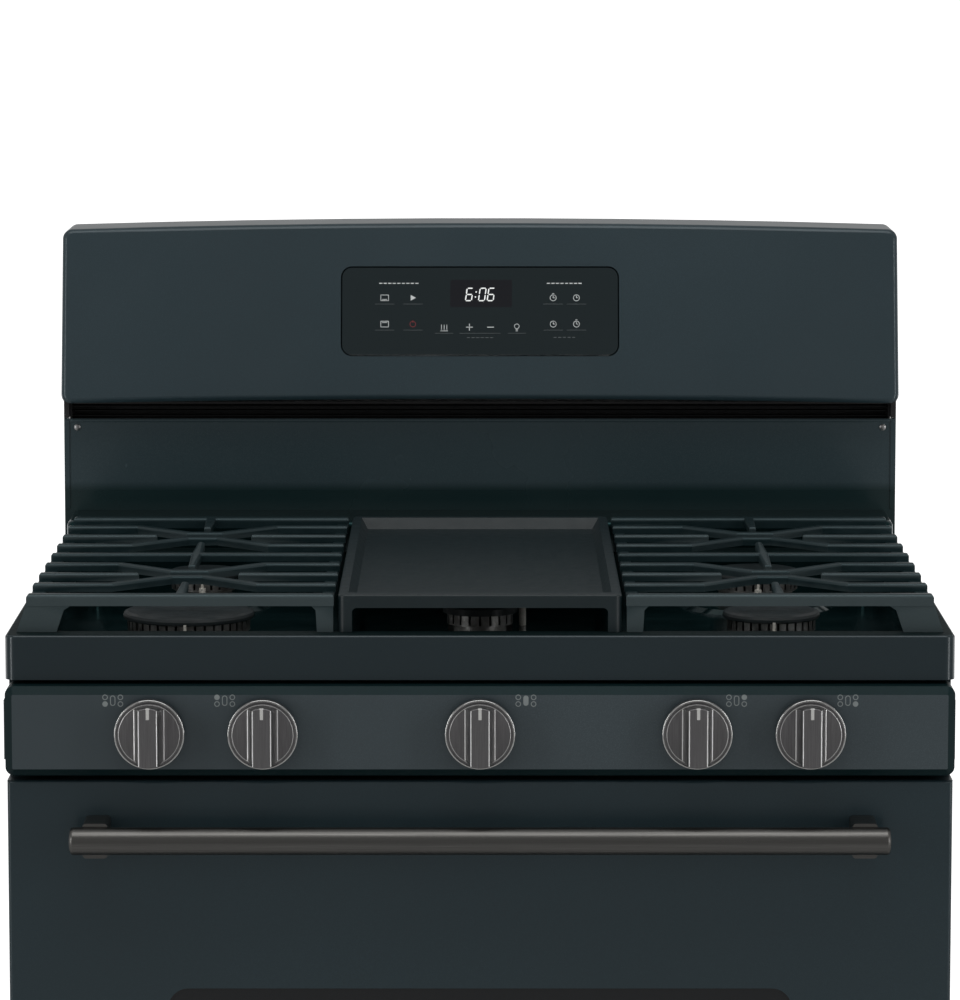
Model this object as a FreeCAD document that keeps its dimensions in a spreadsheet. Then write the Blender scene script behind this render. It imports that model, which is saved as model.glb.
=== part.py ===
"""Freestanding 30-inch gas range, as a parametric FreeCAD document of separate sub-parts.

Row frame in millimetres: X to the right, Y towards the wall, Z up. The origin is on the floor, in the
middle of the range's outline. The driving dimensions are the cells of the sheet "dims". Those that start
with = follow others. Every length in the text expressions below names those cells, and number() gives an
expression's value where a shape is made with Part's own functions.
"""
import FreeCAD, Part
import math
import os
import re

from FreeCAD import Placement, Rotation, Vector

DIMENSIONS = {
    # the whole range
    "body_width": 757.0, "cooktop_lip": 1.0, "cooktop_width": "=body_width + 2 * cooktop_lip",
    "overall_depth": 730.0, "handle_reach": 57.0, "cooktop_depth": "=overall_depth - handle_reach",
    "overall_height": 1207.0, "backguard_tall": 286.0, "cooktop_height": "=overall_height - backguard_tall",
    "sheet_metal": 1.5, "part_gap": 0.3,
    # base, feet and storage drawer
    "leg_height": 38.0, "pad_radius": 17.0, "pad_thick": 9.0, "screw_radius": 5.0, "base_rail": 22.0,
    "leg_inset": 34.0, "toe_setback": 46.0, "drawer_bottom": 60.0, "drawer_tall": 182.0,
    "drawer_front_depth": 34.0, "drawer_gap": 8.3, "drawer_margin": 117.0,
    "drawer_inner_width": "=body_width - drawer_margin", "drawer_headroom": 39.0,
    "drawer_box_tall": "=drawer_tall - drawer_headroom", "drawer_spare": 153.0,
    "drawer_box_depth": "=cooktop_depth - drawer_spare", "runner_tall": 8.0, "runner_wide": 9.0,
    # oven
    "oven_margin": 147.0, "cavity_width": "=body_width - oven_margin", "mouth_lap": 79.0,
    "cavity_tall": "=door_tall - mouth_lap", "oven_backing": 189.0,
    "cavity_depth": "=cooktop_depth - oven_backing", "floor_rise": 33.0,
    "cavity_floor": "=drawer_bottom + drawer_tall + floor_rise",
    "liner_wall": 2.0, "insulation": 25.0, "frame_thick": 12.0, "frame_setback": 29.0,
    "floor_panel_lift": 27.0, "ledge_first": 55.0, "ledge_last": 57.0,
    "ledge_pitch": "=(cavity_tall - ledge_first - ledge_last) / 7", "ledge_reach": 8.0,
    "ledge_thick": 6.0, "rack_spare": 54.0, "rack_depth": "=cavity_depth - rack_spare", "rack_wire": 3.2, "rack_rod": 1.9, "rack_setback": 15.0,
    "gasket_wide": 10.0, "gasket_gap": 0.8, "bake_radius": 9.0, "broil_radius": 8.0,
    # oven door
    "door_gap": 4.5,
    "door_tall": "=cooktop_height - rail_tall - panel_gap - panel_tall - door_gap - drawer_bottom"
                 " - drawer_tall - drawer_gap",
    "door_depth": 34.0, "door_proud": 10.0, "window_margin": 257.0, "window_wide": "=body_width - window_margin",
    "window_tall": 250.0, "glass_thick": 4.0, "glass_lap": 22.0, "handle_radius": 11.0,
    "handle_margin": 107.0, "handle_length": "=body_width - handle_margin", "handle_drop": 42.0, "mount_wide": 20.0, "hinge_margin": 57.0, "hinge_span": "=body_width - hinge_margin",
    "hinge_rise": 8.0, "hinge_inset": 12.0, "hinge_arm": 9.0, "hinge_pin": 4.0,
    # control panel, knobs and valves
    "rail_tall": 36.0, "panel_gap": 3.2, "panel_tall": 72.0, "panel_proud": 17.0, "panel_bevel": 6.0,
    "panel_corner": 7.0, "panel_skin": 2.0,
    "knob_margin": 116.0, "knob_outer_x": "=body_width / 2 - knob_margin",
    "knob_pitch": 90.0, "knob_inner_x": "=knob_outer_x - knob_pitch", "knob_radius": 28.0, "knob_deep": 27.0,
    "knob_gap": 4.5, "knob_skirt": 9.0, "knob_rim": 1.8, "knob_groove": 1.5, "grip_wide": 14.5,
    "grip_base": 23.2, "stem_radius": 4.0, "stem_flat": 2.4,
    "shaft_gap": 0.15, "valve_side": 26.0, "manifold_radius": 9.5, "tube_radius": 4.0,
    # cooktop
    "top_wall": 2.0, "well_depth": 31.0, "rim_side": 24.0, "rim_front": 26.0, "rim_rear": 28.0, "corner_round": 9.0,
    "ledge_tall": 24.0, "ledge_deep": 80.0, "ledge_inset": 8.0, "ledge_round": 5.0, "burner_x": "=(grate_inner + grate_outer) / 2", "pad_rise": 3.5,
    # burners
    "large_cap": 54.0, "medium_cap": 40.0, "small_cap": 32.0, "cap_thick": 7.0, "head_tall": 21.0, "head_setback": 3.5,
    "port_wide": 2.0, "port_tall": 8.0, "oval_length": 190.0, "oval_wide": 62.0, "throat_radius": 13.0, "throat_bore": 9.0,
    # grates and griddle
    "grate_rise": 31.0, "grate_front": 20.0, "grate_spare": 197.0, "grate_depth": "=cooktop_depth - grate_spare", "bar_wide": 9.0, "bar_tall": 6.8,
    "rail_bar": 11.0, "rail_drop": 6.0, "rail_round": 3.4, "bar_round": 2.4, "grate_inner": 117.0, "grate_margin": 16.5, "grate_outer": "=cooktop_width / 2 - grate_margin", "flare": 8.0,
    "bend_start": 60.0, "bend_end": 14.0, "bend_close": 16.0, "side_finger": 41.0, "end_finger": 68.0,
    "cross_finger": 72.0, "finger_tip": 6.0,
    "griddle_half": 113.5, "griddle_lip": 8.0, "griddle_floor": 4.0, "griddle_sink": 9.5, "griddle_draft": 5.5,
    # backguard
    "backguard_depth": 73.0, "splash_tall": 124.0, "console_bottom": "=cooktop_height + splash_tall",
    "vent_open": 16.0, "splash_top": "=console_bottom - vent_open", "console_lean": 40.0,
    "console_proud": 34.0, "crown": 5.5, "arch": 4.0, "console_corner": 9.0, "console_skin": 2.5,
    "console_round": 5.0, "glass_wide": 250.0, "glass_tall": 80.0, "glass_rise": 86.0,
    "console_glass": 3.0, "rear_recess": 2.0, "screw_head": 4.2, "screw_shank": 1.9, "screw_inset": 7.0,
    # gas inlet and cord entry
    "inlet_margin": 128.5, "inlet_x": "=body_width / 2 - inlet_margin", "inlet_z": 120.0,
    "inlet_radius": 9.2, "cord_x": "=0 - inlet_x", "cord_radius": 11.0,
}

BACK = "(overall_depth / 2)"
RAIL_Y = f"({BACK} - cooktop_depth)"
PANEL_Y = f"({RAIL_Y} - panel_proud)"
DOOR_Y = f"({RAIL_Y} - door_proud)"
FRAME_Y = f"({RAIL_Y} + frame_setback)"
LINER_Y = f"({FRAME_Y} + frame_thick)"
SPLASH_Y = f"({BACK} - backguard_depth)"
REAR_Y = f"({BACK} - rear_recess)"
FLANGE_Y = f"({REAR_Y} - sheet_metal - part_gap)"
HALF = "(body_width / 2)"
RAIL_BOTTOM = "(cooktop_height - rail_tall)"
PANEL_TOP = f"({RAIL_BOTTOM} - panel_gap)"
PANEL_BOTTOM = f"({PANEL_TOP} - panel_tall)"
DOOR_TOP = f"({PANEL_BOTTOM} - door_gap)"
DOOR_BOTTOM = f"({DOOR_TOP} - door_tall)"
DRAWER_TOP = "(drawer_bottom + drawer_tall)"
CAVITY_TOP = "(cavity_floor + cavity_tall)"
CAVITY_BACK = f"({FRAME_Y} + cavity_depth)"
KNOB_Z = f"({PANEL_BOTTOM} + panel_tall / 2)"
WELL_Z = "(cooktop_height - well_depth)"
LEDGE_Z = "(cooktop_height + ledge_tall)"
GRATE_Z = "(cooktop_height + grate_rise)"
GRATE_Y = f"({RAIL_Y} + grate_front)"
ROW_PITCH = "(grate_depth / 8)"
FRONT_BURNER_Y = f"({GRATE_Y} + 2 * {ROW_PITCH})"
REAR_BURNER_Y = f"({GRATE_Y} + 6 * {ROW_PITCH})"
CENTRE_BURNER_Y = f"({GRATE_Y} + 4 * {ROW_PITCH})"
HINGE_Y = f"({DOOR_Y} + hinge_inset)"
HINGE_Z = f"({DOOR_BOTTOM} + hinge_rise)"
CONSOLE_Y = f"({SPLASH_Y} - console_proud)"

KNOBS = {
    "left_front": "-knob_outer_x", "left_rear": "-knob_inner_x", "centre": "0",
    "right_rear": "knob_inner_x", "right_front": "knob_outer_x",
}
BURNERS = {
    "left_front": ("-burner_x", FRONT_BURNER_Y, "large_cap", 40),
    "left_rear": ("-burner_x", REAR_BURNER_Y, "small_cap", 24),
    "right_rear": ("burner_x", REAR_BURNER_Y, "medium_cap", 30),
    "right_front": ("burner_x", FRONT_BURNER_Y, "medium_cap", 30),
}

doc = FreeCAD.newDocument("gas_range")
nodes = {}


# ---------------------------------------------------------------- the sheet, and values from it

def make_sheet():
    """The driving dimensions, one aliased cell each."""
    sheet = doc.addObject("Spreadsheet::Sheet", "dims")
    for row, alias in enumerate(DIMENSIONS, start=1):
        sheet.set(f"A{row}", alias.replace("_", " "))
        sheet.set(f"B{row}", "0")
        sheet.setAlias(f"B{row}", alias)
    for row, amount in enumerate(DIMENSIONS.values(), start=1):
        sheet.set(f"B{row}", str(amount))
    doc.recompute()


def bound(expression):
    """The expression with each dimension's name pointing at its cell."""
    def cell(word):
        return f"dims.{word.group(0)}" if word.group(0) in DIMENSIONS else word.group(0)
    return re.sub(r"[A-Za-z_]\w*", cell, str(expression))


def number(expression):
    """The expression's value in millimetres."""
    gauge.setExpression("reading", bound(expression))
    gauge.recompute()
    return gauge.reading


def point(x, y, z):
    return Vector(number(x), number(y), number(z))


# ---------------------------------------------------------------- building blocks

def bind(thing, **expressions):
    for name, expression in expressions.items():
        thing.setExpression(name.replace("__", "."), bound(expression))
    return thing


def box(x, y, z):
    """A block between two expressions on each axis."""
    made = doc.addObject("Part::Box", "block")
    bind(made, Length=f"({x[1]}) - ({x[0]})", Width=f"({y[1]}) - ({y[0]})", Height=f"({z[1]}) - ({z[0]})")
    return bind(made, Placement__Base__x=x[0], Placement__Base__y=y[0], Placement__Base__z=z[0])


def drafted_box(x, y, z, draft, beyond):
    """A block whose four sides lean out upwards by draft from low to high, continued beyond high."""
    made = doc.addObject("Part::Wedge", "drafted")
    made.Placement = Placement(Vector(), Rotation(Vector(1, 0, 0), 90))
    spare = f"({draft} * ({beyond}) / (({z[1]}) - ({z[0]})))"
    bind(made, Xmin=f"{x[0]} + {draft}", Xmax=f"{x[1]} - {draft}", Zmin=f"-({y[1]}) + {draft}",
         Zmax=f"-({y[0]}) - {draft}", Ymin="0", Ymax=f"({z[1]}) - ({z[0]}) + {beyond}")
    bind(made, X2min=f"{x[0]} - {spare}", X2max=f"{x[1]} + {spare}", Z2min=f"-({y[1]}) - {spare}",
         Z2max=f"-({y[0]}) + {spare}")
    return bind(made, Placement__Base__z=z[0])


def rod(axis, centre, span, radius):
    """A cylinder along X, Y or Z. centre is its place on the two other axes, span its two ends."""
    made = doc.addObject("Part::Cylinder", "rod")
    turns = {"X": Rotation(Vector(0, 1, 0), 90), "Y": Rotation(Vector(1, 0, 0), -90), "Z": Rotation()}
    made.Placement = Placement(Vector(), turns[axis])
    bind(made, Radius=radius, Height=f"({span[1]}) - ({span[0]})")
    base = list(centre)
    base.insert("XYZ".index(axis), span[0])
    return bind(made, Placement__Base__x=base[0], Placement__Base__y=base[1], Placement__Base__z=base[2])


def fuse(*shapes):
    if len(shapes) == 1:
        return shapes[0]
    made = doc.addObject("Part::MultiFuse", "joined")
    made.Shapes = list(shapes)
    made.Refine = True
    return made


def group(*shapes):
    """Separate solids held as one object."""
    made = doc.addObject("Part::Compound", "group")
    made.Links = list(shapes)
    return made


def cut(base, *tools):
    made = doc.addObject("Part::Cut", "cut")
    made.Base = base
    made.Tool = tools[0] if len(tools) == 1 else fuse(*tools)
    made.Refine = True
    return made


def common(base, tool):
    made = doc.addObject("Part::Common", "common")
    made.Base = base
    made.Tool = tool
    return made


def rounded(base, radius, chosen, kind="Part::Fillet"):
    """base with a fillet or chamfer of that radius on the edges that chosen(edge) accepts."""
    doc.recompute()
    size = number(radius)
    picked = [i for i, edge in enumerate(base.Shape.Edges, start=1) if chosen(edge)]
    made = doc.addObject(kind, "rounded")
    made.Base = base
    made.Edges = [(i, size, size) for i in picked]
    return made


def along(axis):
    """Chooses straight edges that run along the axis."""
    want = {"X": Vector(1, 0, 0), "Y": Vector(0, 1, 0), "Z": Vector(0, 0, 1)}[axis]

    def chosen(edge):
        if edge.Curve.TypeId != "Part::GeomLine":
            return False
        return abs(edge.Curve.Direction.normalize().dot(want)) > 0.999
    return chosen


def at_level(axis, expression):
    """Chooses edges that lie wholly at one place on the axis."""
    k = "XYZ".index(axis)
    level = number(expression)

    def chosen(edge):
        lows = (edge.BoundBox.XMin, edge.BoundBox.YMin, edge.BoundBox.ZMin)
        highs = (edge.BoundBox.XMax, edge.BoundBox.YMax, edge.BoundBox.ZMax)
        return abs(lows[k] - level) < 0.01 and abs(highs[k] - level) < 0.01
    return chosen


def sketch_body(label, plane, outline):
    """A PartDesign body with one closed sketch, whose corners are bound to pairs of expressions."""
    body = doc.addObject("PartDesign::Body", label + "_body")
    origin_plane = [f for f in body.Origin.OriginFeatures if f.Role == plane][0]
    sketch = body.newObject("Sketcher::SketchObject", label + "_sketch")
    sketch.AttachmentSupport = [(origin_plane, "")]
    sketch.MapMode = "FlatFace"
    import Sketcher
    corners = [Vector(number(u), number(v), 0) for u, v in outline]
    count = len(corners)
    for i in range(count):
        sketch.addGeometry(Part.LineSegment(corners[i], corners[(i + 1) % count]), False)
    for i in range(count):
        sketch.addConstraint(Sketcher.Constraint("Coincident", i, 2, (i + 1) % count, 1))
    for i, (u, v) in enumerate(outline):
        for kind, expression in (("DistanceX", u), ("DistanceY", v)):
            name = f"{kind}_{i}"
            index = sketch.addConstraint(Sketcher.Constraint(kind, -1, 1, i, 1, number(expression)))
            sketch.renameConstraint(index, name)
            sketch.setExpression(f"Constraints.{name}", bound(expression))
    return body, sketch


def pad(label, plane, outline, span):
    """A prism on the XY, XZ or YZ plane between two expressions on the third axis."""
    body, sketch = sketch_body(label, plane, outline)
    made = body.newObject("PartDesign::Pad", label + "_pad")
    made.Profile = sketch
    away = {"XY_Plane": "z", "XZ_Plane": "y", "YZ_Plane": "x"}[plane]
    made.Reversed = plane == "XZ_Plane"
    made.setExpression("Length", bound(f"({span[1]}) - ({span[0]})"))
    body.setExpression(f"Placement.Base.{away}", bound(span[0]))
    return body


def revolve(label, outline, x, y):
    """A solid of revolution about a vertical line at x, y. The outline is radius and height pairs."""
    body, sketch = sketch_body(label, "XZ_Plane", outline)
    made = body.newObject("PartDesign::Revolution", label + "_turn")
    made.Profile = sketch
    made.ReferenceAxis = (sketch, ["V_Axis"])
    made.Angle = 360.0
    bind(body, Placement__Base__x=x, Placement__Base__y=y)
    return body


def solid_of(label, shape):
    """A Part::Feature for a shape that no feature of the document fits."""
    made = doc.addObject("Part::Feature", label + "_shape")
    made.Shape = shape
    return made


def node(label, thing):
    """Names the object that a sub-part's file is written from."""
    thing.Label = label
    nodes[label] = thing
    return thing


def pipe(points, radius, bend):
    """A round tube through the points, with a tangent arc at each inner one."""
    edges = []
    start = points[0]
    for before, corner, after in zip(points, points[1:], points[2:]):
        into, out = (corner - before).normalize(), (after - corner).normalize()
        turn = into.getAngle(out)
        reach = bend * math.tan(turn / 2)
        first, last = corner - into * reach, corner + out * reach
        inward = (out - into).normalize()
        middle = corner + inward * (bend / math.cos(turn / 2) - bend)
        edges += [Part.LineSegment(start, first).toShape(), Part.Arc(first, middle, last).toShape()]
        start = last
    edges.append(Part.LineSegment(start, points[-1]).toShape())
    path = Part.Wire(edges)
    ring = Part.Wire([Part.makeCircle(radius, points[0], points[1] - points[0])])
    return path.makePipeShell([ring], True, True)


def stadium(p, q, width, low, high, edge=0.0):
    """A bar with round ends between p and q, between two heights, with its top edge rounded."""
    half = width / 2
    run = (q - p).normalize()
    side = Vector(-run.y, run.x, 0) * half
    a, b, c, d = p + side, q + side, q - side, p - side
    far, near = q + run * half, p - run * half
    wire = Part.Wire([
        Part.LineSegment(a, b).toShape(), Part.Arc(b, far, c).toShape(),
        Part.LineSegment(c, d).toShape(), Part.Arc(d, near, a).toShape(),
    ])
    wire.translate(Vector(0, 0, low))
    solid = Part.Face(wire).extrude(Vector(0, 0, high - low))
    if edge:
        top = [e for e in solid.Edges if min(v.Z for v in e.Vertexes) > high - 0.01]
        solid = solid.makeFillet(edge, top)
    return solid


# ---------------------------------------------------------------- body and base

def make_side_panels():
    """Wrapped steel sides: a flat sheet with a return flange at the back."""
    for side, sign in (("left", "-1"), ("right", "1")):
        outer, flange = f"{sign} * {HALF}", f"{sign} * ({HALF} - 14)"
        inner = f"{sign} * ({HALF} - sheet_metal)"
        front, back = FRAME_Y, FLANGE_Y
        outline = [
            (outer, front), (outer, back), (flange, back), (flange, f"{back} - sheet_metal"),
            (inner, f"{back} - sheet_metal"), (inner, front),
        ]
        panel = pad(f"side_{side}", "XY_Plane", outline, ("leg_height", f"{RAIL_BOTTOM} - part_gap"))
        holes = [rod("Y", place, (f"{back} - 5", f"{back} + 5"), "screw_shank + part_gap")
                 for place in screw_places()]
        node(f"side_panel_{side}", cut(panel, *holes))


def screw_places():
    """Where the rear panel's screws go, as x and z expressions."""
    low, rise = "(drawer_bottom + 50)", f"({RAIL_BOTTOM} - drawer_bottom - 75)"
    return [(f"{sign} * ({HALF} - screw_inset)", f"{low} + {row} * {rise} / 4") for sign in (-1, 1) for row in range(5)]


def make_rear_screws():
    """Pan-head screws that hold the rear panel on the side panels' flanges."""
    screws = []
    for place in screw_places():
        head = rod("Y", place, (f"{REAR_Y} + 0.05", f"{REAR_Y} + 1.8"), "screw_head")
        shank = rod("Y", place, (f"{REAR_Y} - 12", f"{REAR_Y} + 1"), "screw_shank")
        screws.append(fuse(rounded(head, "1", at_level("Y", f"{REAR_Y} + 1.8")), shank))
    node("rear_screws", group(*screws))


def make_rear_panel():
    """The back cover: louvres behind the oven, an opening for the gas inlet and the cord's hole."""
    span = (f"{REAR_Y} - sheet_metal", REAR_Y)
    edge = f"({HALF} - sheet_metal)"
    sheet = box((f"-{edge}", edge), span, ("drawer_bottom", "console_bottom - 2"))
    louvres = []
    for row in range(6):
        low = f"{CAVITY_TOP} - {60 + 34 * row}"
        for x in ("-230", "50"):
            louvres.append(box((x, f"{x} + 180"), (f"{REAR_Y} - 5", f"{REAR_Y} + 5"), (low, f"{low} + 6")))
    through = (f"{REAR_Y} - 5", f"{REAR_Y} + 5")
    inlet = rod("Y", ("inlet_x", "inlet_z"), through, "inlet_radius + 14")
    cord = rod("Y", ("cord_x", "inlet_z"), through, "cord_radius")
    holes = [rod("Y", place, through, "screw_shank + part_gap") for place in screw_places()]
    node("rear_panel", cut(sheet, *louvres, inlet, cord, *holes))


def make_base_frame():
    """The bottom ring with a corner plate over each foot, and the drawer's two runners."""
    edge = f"({HALF} - sheet_metal - part_gap)"
    front, back = f"{FRAME_Y} + toe_setback - frame_setback", f"{FLANGE_Y} - 2 * sheet_metal - part_gap"
    z = ("leg_height", "leg_height + base_rail")
    ring = cut(
        box((f"-{edge}", edge), (front, back), z),
        box((f"-({edge} - 60)", f"{edge} - 60"), (f"{front} + 60", f"{back} - 60"), ("0", "200")),
        box((f"-({edge} - 2)", f"{edge} - 2"), (f"{front} + 2", f"{back} - 2"), ("0", f"{z[1]} - 3")),
    )
    legs = [rod("Z", leg, ("0", "200"), "screw_radius + shaft_gap") for leg in leg_places()]
    runners = []
    for sign in (-1, 1):
        inner = "(drawer_inner_width / 2 + 1.5)"
        x = (inner, f"{inner} + runner_wide") if sign > 0 else (f"-{inner} - runner_wide", f"-{inner}")
        runners.append(box(x, (f"{front} + 2", f"{back} - 2"), (f"{z[1]} - 3", f"{z[1]} + runner_tall")))
    node("base_frame", cut(fuse(ring, *runners), *legs))


def leg_places():
    """Where the four feet stand, as x and y expressions."""
    x = f"({HALF} - leg_inset)"
    front, back = f"{FRAME_Y} + toe_setback", f"{BACK} - leg_inset"
    return [(f"-{x}", front), (x, front), (f"-{x}", back), (x, back)]


def make_leveling_legs():
    """Four screw-in feet with hexagonal pads."""
    feet = []
    for x, y in leg_places():
        foot = doc.addObject("Part::Prism", "foot")
        foot.Polygon = 6
        bind(foot, Circumradius="pad_radius", Height="pad_thick")
        bind(foot, Placement__Base__x=x, Placement__Base__y=y)
        screw = rod("Z", (x, y), ("pad_thick / 2", "leg_height + base_rail + 4"), "screw_radius")
        feet.append(fuse(foot, screw))
    node("leveling_legs", group(*feet))


# ---------------------------------------------------------------- oven

def make_front_frame():
    """The steel frame round the oven's mouth, with a slot for each hinge arm."""
    edge = f"({HALF} - sheet_metal - part_gap)"
    mouth = "(cavity_width / 2)"
    plate = box(
        (f"-{edge}", edge), (FRAME_Y, LINER_Y), (f"{DRAWER_TOP} + 3", f"{PANEL_BOTTOM} - 3"))
    hole = box((f"-{mouth}", mouth), (f"{FRAME_Y} - 1", f"{LINER_Y} + 1"), ("cavity_floor", CAVITY_TOP))
    hole = rounded(hole, "14", along("Y"))
    slots = [hinge_space(sign, "hinge_arm / 2 + 1", "10", (f"{FRAME_Y} - 1", f"{LINER_Y} + 1"))
             for sign in (-1, 1)]
    node("front_frame", cut(plate, hole, *slots))


def hinge_space(sign, half_wide, half_tall, y):
    """A block round one hinge arm's place."""
    x = f"{sign} * hinge_span / 2"
    return box((f"{x} - ({half_wide})", f"{x} + ({half_wide})"), y,
               (f"{HINGE_Z} - {half_tall}", f"{HINGE_Z} + {half_tall}"))


def make_oven_liner():
    """The enamelled oven box, open at the front, with seven pressed ledges on each side."""
    half, wall = "(cavity_width / 2)", "liner_wall"
    outer = box((f"-{half} - {wall}", f"{half} + {wall}"), (f"{LINER_Y} + part_gap", f"{CAVITY_BACK} + {wall}"),
                (f"cavity_floor - {wall}", f"{CAVITY_TOP} + {wall}"))
    inner = box((f"-{half}", half), (f"{LINER_Y} - 1", CAVITY_BACK), ("cavity_floor", CAVITY_TOP))
    ledges = []
    for level in range(7):
        low = f"cavity_floor + ledge_first + {level} * ledge_pitch"
        y = (f"{LINER_Y} + 20", f"{CAVITY_BACK} - 10")
        z = (low, f"{low} + ledge_thick")
        ledges.append(box((f"-{half} - 1", f"-{half} + ledge_reach"), y, z))
        ledges.append(box((f"{half} - ledge_reach", f"{half} + 1"), y, z))
    node("oven_liner", fuse(cut(outer, inner), *ledges))


def make_oven_floor():
    """The lift-out bottom panel, with a slot along each side for the bake burner's heat."""
    half = "(cavity_width / 2 - 3)"
    z = ("cavity_floor + floor_panel_lift", "cavity_floor + floor_panel_lift + sheet_metal")
    y = (f"{LINER_Y} + 6", f"{CAVITY_BACK} - 3")
    plate = box((f"-{half}", half), y, z)
    skirts = [box((f"{x} - sheet_metal / 2", f"{x} + sheet_metal / 2"), y, ("cavity_floor + part_gap", z[1]))
              for x in (f"-{half} + sheet_metal", f"{half} - sheet_metal")]
    slots = []
    for sign in (-1, 1):
        for step in range(6):
            low = f"{LINER_Y} + 40 + {70 * step}"
            x = f"{sign} * ({half} - 28)"
            slots.append(box((f"{x} - 6", f"{x} + 6"), (low, f"{low} + 45"), (f"{z[0]} - 2", f"{z[1]} + 2")))
    node("oven_floor", cut(fuse(plate, *skirts), *slots))


def make_oven_insulation():
    """A glass-wool wrap round the liner, open at the front."""
    half, wall = "(cavity_width / 2 + liner_wall + part_gap)", "(liner_wall + part_gap)"
    outer = box((f"-{half} - insulation", f"{half} + insulation"),
                (f"{LINER_Y} + part_gap", f"{CAVITY_BACK} + {wall} + insulation"),
                (f"cavity_floor - {wall} - insulation", f"{CAVITY_TOP} + {wall} + insulation"))
    inner = box((f"-{half}", half), (f"{LINER_Y} - 5", f"{CAVITY_BACK} + {wall}"),
                (f"cavity_floor - {wall}", f"{CAVITY_TOP} + {wall}"))
    node("oven_insulation", cut(outer, inner))


def make_oven_burners():
    """The bake burner's tube below the floor panel, and the broil burner's tube and baffle."""
    z = "cavity_floor + bake_radius + 3"
    tube = rod("Y", ("0", z), (f"{LINER_Y} + 60", f"{CAVITY_BACK} - 1"), "bake_radius")
    feet = [box(("-22", "22"), (f"{y} - 4", f"{y} + 4"), ("cavity_floor + part_gap", z))
            for y in (f"{LINER_Y} + 90", f"{CAVITY_BACK} - 60")]
    cross = rod("X", (f"{LINER_Y} + 70", z), ("-90", "90"), "bake_radius")
    node("bake_burner", fuse(tube, cross, *feet))
    top = f"({CAVITY_TOP} - 14)"
    tube = rod("Y", ("0", top), (f"{LINER_Y} + 110", f"{CAVITY_BACK} - 1"), "broil_radius")
    baffle = box(("-110", "110"), (f"{LINER_Y} + 110", f"{CAVITY_BACK} - 90"), (f"{top} - 1", f"{top} + 1"))
    straps = [box(("-8", "8"), (f"{y} - 5", f"{y} + 5"), (top, f"{CAVITY_TOP} - part_gap"))
              for y in (f"{LINER_Y} + 140", f"{CAVITY_BACK} - 120")]
    node("broil_burner", fuse(tube, baffle, *straps))


def make_oven_lamp():
    """A round lamp cover in the oven's back wall."""
    place = ("-cavity_width / 2 + 90", f"{CAVITY_TOP} - 70")
    base = rod("Y", place, (f"{CAVITY_BACK} - 9", f"{CAVITY_BACK} - part_gap"), "30")
    dome = rod("Y", place, (f"{CAVITY_BACK} - 26", f"{CAVITY_BACK} - 9"), "24")
    dome = rounded(dome, "9", at_level("Y", f"{CAVITY_BACK} - 26"))
    node("oven_lamp", fuse(base, dome))


def make_door_gasket():
    """The woven seal round the oven's mouth."""
    half = "(cavity_width / 2 + 4)"
    y = (f"{DOOR_Y} + door_depth + gasket_gap", f"{FRAME_Y}")

    def ring(grow, depth):
        made = box((f"-{half} - ({grow})", f"{half} + ({grow})"), depth,
                   (f"cavity_floor - 3 - ({grow})", f"{CAVITY_TOP} + 4 + ({grow})"))
        return rounded(made, f"18 + {grow}", along("Y"))
    node("door_gasket", cut(ring("gasket_wide", y), ring("0", (f"{y[0]} - 1", f"{y[1]} + 1"))))


def make_hinge_arms():
    """Two hinge arms fixed to the body, each with the pin that the door turns on."""
    arms = []
    for sign in (-1, 1):
        arm = hinge_space(sign, "hinge_arm / 2", "6", (f"{HINGE_Y}", f"{FRAME_Y} + 130"))
        x = f"{sign} * hinge_span / 2"
        eye = rod("X", (HINGE_Y, HINGE_Z), (f"{x} - hinge_arm / 2", f"{x} + hinge_arm / 2"), "6")
        pin = rod("X", (HINGE_Y, HINGE_Z), (f"{x} - 10", f"{x} + 10"), "hinge_pin")
        arms.append(fuse(arm, eye, pin))
    node("hinge_arms", group(*arms))


def make_racks():
    """Two wire racks: an outer frame with a raised back stop, cross bars and fore-and-aft rods."""
    for name, level in (("rack_lower", 1), ("rack_upper", 4)):
        base = f"cavity_floor + ledge_first + {level} * ledge_pitch + ledge_thick"
        z = number(f"{base} + rack_wire + 0.1")
        edge = number("cavity_width / 2 - 4.5")
        front = number(f"{LINER_Y} + rack_setback")
        back = front + number("rack_depth")
        wire, fine = number("rack_wire"), number("rack_rod")
        loop = [Vector(-edge, front, z), Vector(edge, front, z), Vector(edge, back, z), Vector(-edge, back, z)]
        bend = 12.0
        mid = Vector(0, front, z)
        closed = pipe([mid, loop[1], loop[2], Vector(0, back, z)], wire, bend)
        mirror = closed.mirror(Vector(), Vector(1, 0, 0))
        bars = [Part.makeCylinder(wire, 2 * edge, Vector(-edge, y, z), Vector(1, 0, 0))
                for y in (front + (back - front) * k / 3 for k in (1, 2))]
        count = 21
        lift = wire + fine - 1.2
        rods = []
        for i in range(count):
            x = -edge + 2 * edge * (i + 1) / (count + 1)
            rods.append(Part.makeCylinder(fine, back - front, Vector(x, front, z + lift), Vector(0, 1, 0)))
        stop = pipe([Vector(-edge + 30, back, z), Vector(-edge + 30, back, z + 22),
                     Vector(edge - 30, back, z + 22), Vector(edge - 30, back, z)], fine + 0.6, 8.0)
        shape = closed.fuse([mirror, stop] + bars + rods)
        node(name, solid_of(name, shape))


# ---------------------------------------------------------------- oven door

def door_shell(label, x, z, y_front, y_back, skin):
    """A pressed pan: a front sheet with four flanges towards the back."""
    outer = box(x, (y_front, y_back), z)
    outer = rounded(outer, "3", at_level("Y", y_front))
    inner = box((f"{x[0]} + {skin}", f"{x[1]} - {skin}"), (f"{y_front} + {skin}", f"{y_back} + 5"),
                (f"{z[0]} + {skin}", f"{z[1]} - {skin}"))
    return outer, inner


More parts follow.
